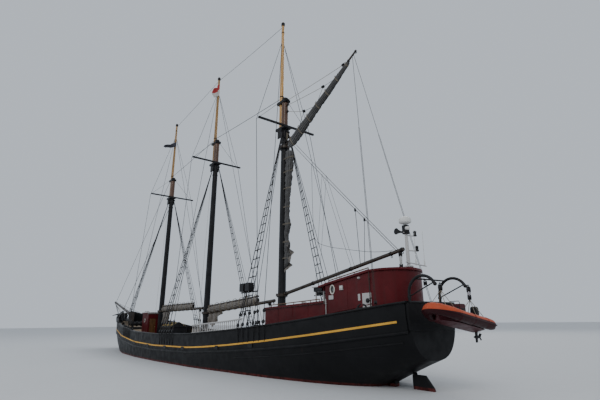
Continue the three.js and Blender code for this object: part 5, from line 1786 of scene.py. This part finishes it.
def deck_gear():
    """The windlass with its drums, the anchors and the mooring bitts."""
    skin("windlass", "iron", "iron", bevel=0.012)
    skins([f"anchor_{side}" for side in SIDES], "iron", "iron", bevel=0.01)
    drums, hub = Shape(), at(16.1, 0, deck_z(16.2) + 0.5)
    for side in (-1, 1):
        for near, far, profile in ((0.62, 1.12, WARPING_DRUM), (0.18, 0.3, CHAIN_WHEEL)):
            drums.lathe(hub + PORT * side * near, hub + PORT * side * far, profile, 20)
    place("windlass_drums", drums, "iron", slot="iron")
    bitt = Shape()
    for y in (-0.2, 0.2):
        bitt.lathe(at(0, y, -0.02), at(0, y, 0.42), BITT, 16)
    bitt.box((-0.14, -0.36, -0.02), (0.14, 0.36, 0.03))
    spots = [on_deck(x, inboard(x, side, 0.5, 0.62)) for x in BITT_PLACES for side in SIDES.values()]
    repeats("mooring_bitts", bitt, [(p, facing(UP, AHEAD), 0.9) for p in spots], "iron")


def pin_rails():
    """Rails inside the bulwarks abreast of each mast, with belaying pins and coils of rope."""
    rails, coil = shapes(2)
    spots, coils = [], []
    for i in range(4):
        coil.torus(at(0, 0.0175 * (i - 1.5), -0.19 - 0.012 * i), 0.12 - 0.006 * i, 0.012, PORT, 5, 14)
    for mast in MASTS.values():
        start, end = mast.foot.x - 2.0, mast.foot.x - 0.4
        for side in SIDES.values():
            path = [on_deck(x, inboard(x, side, 0.8, 0.24), 0.76) for x in stations(start, end, 0.4)]
            rails.sweep(path, plank_section(0.16, 0.05, 0.5), PORT)
            xs = stations(start + 0.12, end - 0.12, 0.27)
            pins = [on_deck(x, inboard(x, side, 0.8, 0.26), 0.8) for x in xs]
            turn = Matrix.Rotation(0 if side > 0 else math.pi, 3, "Z")
            spots += pins
            coils += [(p, turn, 1.0) for p in pins]
    place("pin_rails", rails, "teak")
    repeats("belaying_pins", turned(-0.2, 0.17, PIN, 8), spots, "teak")
    repeats("line_coils", coil, coils, "line", angle=60)


# Middles of the lamp boards along the ship
LAMP_BOARDS = (-11.4, -12.0)


def side_lights():
    """Two black lamp boards on a batten across the mizzen shrouds, each side."""
    boards, bars = Shape(), []
    lenses = {name: Shape() for name in SIDES}
    lens = [(0, 0.12), (0.6, 0.11), (1, 0.05)]
    for name, side in SIDES.items():
        for x in LAMP_BOARDS:
            hub = at(x, side * 2.74, 4.46)
            boards.box(hub - at(0.22, 0.16, 0.22), hub + at(0.22, 0.16, 0.22))
            hub.y = side * 2.76
            lenses[name].lathe(hub + AHEAD * 0.21, hub + AHEAD * 0.27, lens, 18)
        bars.append(([at(-11.0, side * 2.66, 4.2), at(-12.6, side * 2.62, 4.2)], 0.035))
        bars.append(([at(-11.62, side * 2.66, 4.2), at(-11.7, side * 2.98, 2.9)], 0.03))
    place("lamp_boards", boards, "black", bevel=0.02)
    for name, colour in (("port", "red"), ("starboard", "green")):
        place(f"{name}_lamps", lenses[name], f"{colour}_lens", angle=50)
    ropes("lamp_board_bars", bars, "iron", sides=8)


# The skylight's ends along the ship, half breadth, eaves and ridge
SKYLIGHT = (4.6, 7.2, 0.75, 2.3, 2.72)


def skylight():
    """A low dark skylight on the deck between the hatch and the fore mast."""
    aft, fore, half, eaves, ridge = SKYLIGHT
    body, bars, panes = shapes(3)
    body.loft([[on_deck(x, -half), at(x, -half, eaves), at(x, 0, ridge), at(x, half, eaves), on_deck(x, half)]
               for x in stations(aft, fore, 0.6)])
    slope = math.atan2(ridge - eaves, half)
    pane = ((-0.28, 0.0), (0.28, 0.0), (0.28, 0.012), (-0.28, 0.012))
    for side in SIDES.values():
        edge, crown = at(0, side * half, eaves), at(0, 0, ridge)
        out = at(0, side * math.sin(slope), math.cos(slope))
        for x in stations(aft + 0.45, fore - 0.45, 0.8):
            low, high = (edge.lerp(crown, share) + AHEAD * x for share in (0.16, 0.86))
            panes.loft([[p + AHEAD * d + out * h for d, h in pane] for p in (low, high)])
            for step in range(-2, 3):
                shift = AHEAD * 0.13 * step + out * 0.035
                bars.rod(low + shift, high + shift, 0.011)
    for x in (aft, fore):
        body.box((x - 0.05, -half - 0.04, eaves - 0.05), (x + 0.05, half + 0.04, eaves + 0.02))
    place("skylight", body, "black", bevel=0.015)
    place("skylight_panes", panes, "glass")
    place("skylight_bars", bars, "brass")


WHEEL_HUB = [(0, 0.04), (0.2, 0.095), (0.8, 0.095), (1, 0.085)]
COMPASS = [(0, 0.14), (0.4, 0.15), (0.7, 0.13), (0.9, 0.08), (1, 0.02)]


def steering():
    skin("steering_pedestal", "teak", "varnish", bevel=0.02)
    skin("steering_wheel", "teak", "varnish", angle=50)
    hub = at(-17.81, 0, 2.95)
    brass = Shape().lathe(hub - AHEAD * 0.075, hub + AHEAD * 0.06, WHEEL_HUB, 20)
    brass.torus(hub, 0.46, 0.012, AHEAD, 6, 36)
    place("steering_wheel_brass", brass, "brass", "steering_wheel")
    place("compass", Shape().lathe(at(-17.5, 0, 3.18), at(-17.5, 0, 3.42), COMPASS, 24), "brass")


def under_water():
    skin("propeller", "bronze", "bronze", angle=40)


def hatch():
    skin("hatch_coaming", "rail", "hull_paint", bevel=0.012)
    skin("hatch_lid", "teak", "varnish", bevel=0.012)


# Settings, operators and the panel


def colour_of(label, default, note):
    return FloatVectorProperty(name=label, description=note, default=default, size=3, min=0, max=1,
                               subtype="COLOR")


def number_of(label, default, note, **limits):
    return FloatProperty(name=label, description=note, default=default, **limits)


class PaintSettings(bpy.types.PropertyGroup):
    hull: colour_of("Hull", (0.0045, 0.0045, 0.005), "Topsides and bulwarks")
    bottom: colour_of("Bottom", (0.075, 0.014, 0.012), "Bottom paint under water")
    stripe: colour_of("Cove line", (0.62, 0.33, 0.05), "Line along the sheer")
    deck: colour_of("Deck", (0.30, 0.23, 0.16), "Laid deck planks")
    house: colour_of("Deckhouses", (0.075, 0.006, 0.008), "Deckhouse walls")
    white: colour_of("White", (0.42, 0.41, 0.4), "White fittings")
    topmast: colour_of("Topmasts", (0.42, 0.23, 0.07), "Varnished topmasts")
    masthead: colour_of("Mastheads", (0.12, 0.06, 0.035), "Oiled mastheads")
    spar: colour_of("Spars", (0.05, 0.035, 0.025), "Booms, gaffs and bowsprit")
    canvas: colour_of("Canvas", (0.17, 0.15, 0.13), "Furled lower sails")
    storm: colour_of("Grey canvas", (0.06, 0.058, 0.057), "Mizzen sail cloth")
    tube: colour_of("Boat tube", (0.42, 0.072, 0.028), "Inflatable boat's tubes")


class StageSettings(bpy.types.PropertyGroup):
    lens: number_of("Lens", 24.546, "Camera's focal length", min=10, max=200, unit="CAMERA")
    eye: FloatVectorProperty(name="Eye", description="Camera's place", default=(-15.8786, 7.169, 1.3), size=3,
                             unit="LENGTH", subtype="XYZ")
    heading: number_of("Heading", -0.6543, "Way that the camera faces, from the bow", subtype="ANGLE")
    pitch: number_of("Pitch", 0.2897, "How far the camera looks up", subtype="ANGLE")
    roll: number_of("Roll", 0.0109, "Lean of the picture", subtype="ANGLE")
    sky: number_of("Sky", 0.75, "Strength of the pale surroundings", min=0, max=5)
    key: number_of("Key light", 1.7, "Strength of the large soft light", min=0, max=20)


class SCHOONER_OT_paint(bpy.types.Operator):
    """Mixes every finish from the panel's colours"""

    bl_idname = "schooner.paint"
    bl_label = "Mix finishes"

    def execute(self, context):
        LOOKS.update(make_looks(context.scene.schooner_paint))
        return {"FINISHED"}


class PieceOperator:
    """Runs its steps with the mixed finishes."""

    steps = ()

    def execute(self, context):
        for step in self.steps:
            step()
        return {"FINISHED"}


class SCHOONER_OT_hull(PieceOperator, bpy.types.Operator):
    """Builds the hull, its lines, the rails and the bulwark fittings"""

    bl_idname = "schooner.hull"
    bl_label = "Hull and rails"
    steps = (hull_skins, hull_lines, bulwark_fittings, waist_rails)


class SCHOONER_OT_houses(PieceOperator, bpy.types.Operator):
    """Builds the deckhouses with windows, doors and roof gear"""

    bl_idname = "schooner.houses"
    bl_label = "Deckhouses"
    steps = (house_skins, house_trim, windows, wheelhouse_fittings, visor, door_faces, house_roofs, hatch)


class SCHOONER_OT_spars(PieceOperator, bpy.types.Operator):
    """Builds the masts, booms, gaffs and their ironwork"""

    bl_idname = "schooner.spars"
    bl_label = "Masts and spars"
    steps = (spar_skins, boom_iron)


class SCHOONER_OT_standing_rigging(PieceOperator, bpy.types.Operator):
    """Sets up shrouds, ratlines, deadeyes and stays"""

    bl_idname = "schooner.standing_rigging"
    bl_label = "Standing rigging"
    steps = (standing_rigging, stays)


class SCHOONER_OT_running_rigging(PieceOperator, bpy.types.Operator):
    """Reeves halyards, topping lifts, vangs and sheets"""

    bl_idname = "schooner.running_rigging"
    bl_label = "Running rigging"
    steps = (gaff_halyards, topping_lifts, gaff_vangs, boom_sheets)


class SCHOONER_OT_sails(PieceOperator, bpy.types.Operator):
    """Furls the sails and hoists the flags"""

    bl_idname = "schooner.sails"
    bl_label = "Sails and flags"
    steps = (sails, flags)


class SCHOONER_OT_boat(PieceOperator, bpy.types.Operator):
    """Hangs the boat in its davits"""

    bl_idname = "schooner.boat"
    bl_label = "Davits and boat"
    steps = (davits, boat, boat_console, outboard)


class SCHOONER_OT_gear(PieceOperator, bpy.types.Operator):
    """Fits the instruments, the bow, the deck gear and the steering"""

    bl_idname = "schooner.gear"
    bl_label = "Deck gear"
    steps = (instruments, bow_gear, deck_gear, pin_rails, side_lights, skylight, steering, under_water)


class SCHOONER_OT_stage(bpy.types.Operator):
    """Sets the floor, the lights and the camera"""

    bl_idname = "schooner.stage"
    bl_label = "Floor, lights and camera"

    def execute(self, context):
        set_stage(context.scene, context.scene.schooner_stage)
        return {"FINISHED"}


WATTS = 4000


def set_stage(scene, settings):
    floor = object_of("floor", Shape().box((-400, -400, -0.04), (400, 400, 0.0)).mesh("floor"))
    paint = weathered("Studio floor", (0.62, 0.63, 0.64), 0.7, 1.02, (0.55, 0.56, 0.57), 0.1)
    floor.data.materials.append(paint)
    world = bpy.data.worlds.new("Pale sky")
    world.use_nodes = True
    background = world.node_tree.nodes["Background"]
    background.inputs["Color"].default_value = (0.76, 0.83, 0.92, 1)
    background.inputs["Strength"].default_value = settings.sky
    scene.world = world
    lights = [
        # name, place, size, strength, colour
        ("key", (-34, 30, 34), 22, settings.key, (1.0, 0.97, 0.93)),
        ("fill", (10, 40, 14), 26, settings.key * 0.35, (0.9, 0.95, 1.0)),
        ("rim", (14, -30, 30), 20, settings.key * 0.5, (1.0, 0.98, 0.95)),
    ]
    for name, spot, size, strength, colour in lights:
        light = bpy.data.lights.new(name, "AREA")
        light.size = size
        light.energy = strength * WATTS
        light.color = colour
        lamp = bpy.data.objects.new(name, light)
        lamp.location = spot
        lamp.rotation_euler = (-Vector(spot)).to_track_quat("-Z", "Y").to_euler()
        scene.collection.objects.link(lamp)
    set_camera(scene, settings)


def set_camera(scene, settings):
    heading, pitch, roll = settings.heading, settings.pitch, settings.roll
    level = at(math.cos(heading), math.sin(heading), 0)
    ahead = level * math.cos(pitch) + UP * math.sin(pitch)
    right = level.cross(UP)
    above = right.cross(ahead)
    across = right * math.cos(roll) - above * math.sin(roll)
    over = right * math.sin(roll) + above * math.cos(roll)
    data = bpy.data.cameras.new("camera")
    data.lens = settings.lens
    data.sensor_width = 36
    data.clip_end = 1000
    camera = bpy.data.objects.new("camera", data)
    facing_it = Matrix((across, over, -ahead)).transposed().to_4x4()
    camera.matrix_world = Matrix.Translation(Vector(settings.eye)) @ facing_it
    scene.collection.objects.link(camera)
    scene.camera = camera


PIECES = (
    SCHOONER_OT_paint, SCHOONER_OT_hull, SCHOONER_OT_houses, SCHOONER_OT_spars, SCHOONER_OT_standing_rigging,
    SCHOONER_OT_running_rigging, SCHOONER_OT_sails, SCHOONER_OT_boat, SCHOONER_OT_gear, SCHOONER_OT_stage,
)


class SCHOONER_PT_panel(bpy.types.Panel):
    """Colours, camera and the pieces of the ship"""

    bl_label = "Schooner"
    bl_space_type = "VIEW_3D"
    bl_region_type = "UI"
    bl_category = "Schooner"

    def draw(self, context):
        for settings in (context.scene.schooner_paint, context.scene.schooner_stage):
            box = self.layout.box()
            for key in type(settings).__annotations__:
                box.prop(settings, key)
        for kind in PIECES:
            self.layout.operator(kind.bl_idname)


CLASSES = (PaintSettings, StageSettings, *PIECES, SCHOONER_PT_panel)


def register():
    for kind in CLASSES:
        bpy.utils.register_class(kind)
    bpy.types.Scene.schooner_paint = PointerProperty(type=PaintSettings)
    bpy.types.Scene.schooner_stage = PointerProperty(type=StageSettings)


def unregister():
    del bpy.types.Scene.schooner_stage
    del bpy.types.Scene.schooner_paint
    for kind in reversed(CLASSES):
        bpy.utils.unregister_class(kind)


def main():
    register()
    for kind in PIECES:
        group, name = kind.bl_idname.split(".")
        getattr(getattr(bpy.ops, group), name)()
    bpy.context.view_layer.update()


if __name__ == "__main__":
    main()
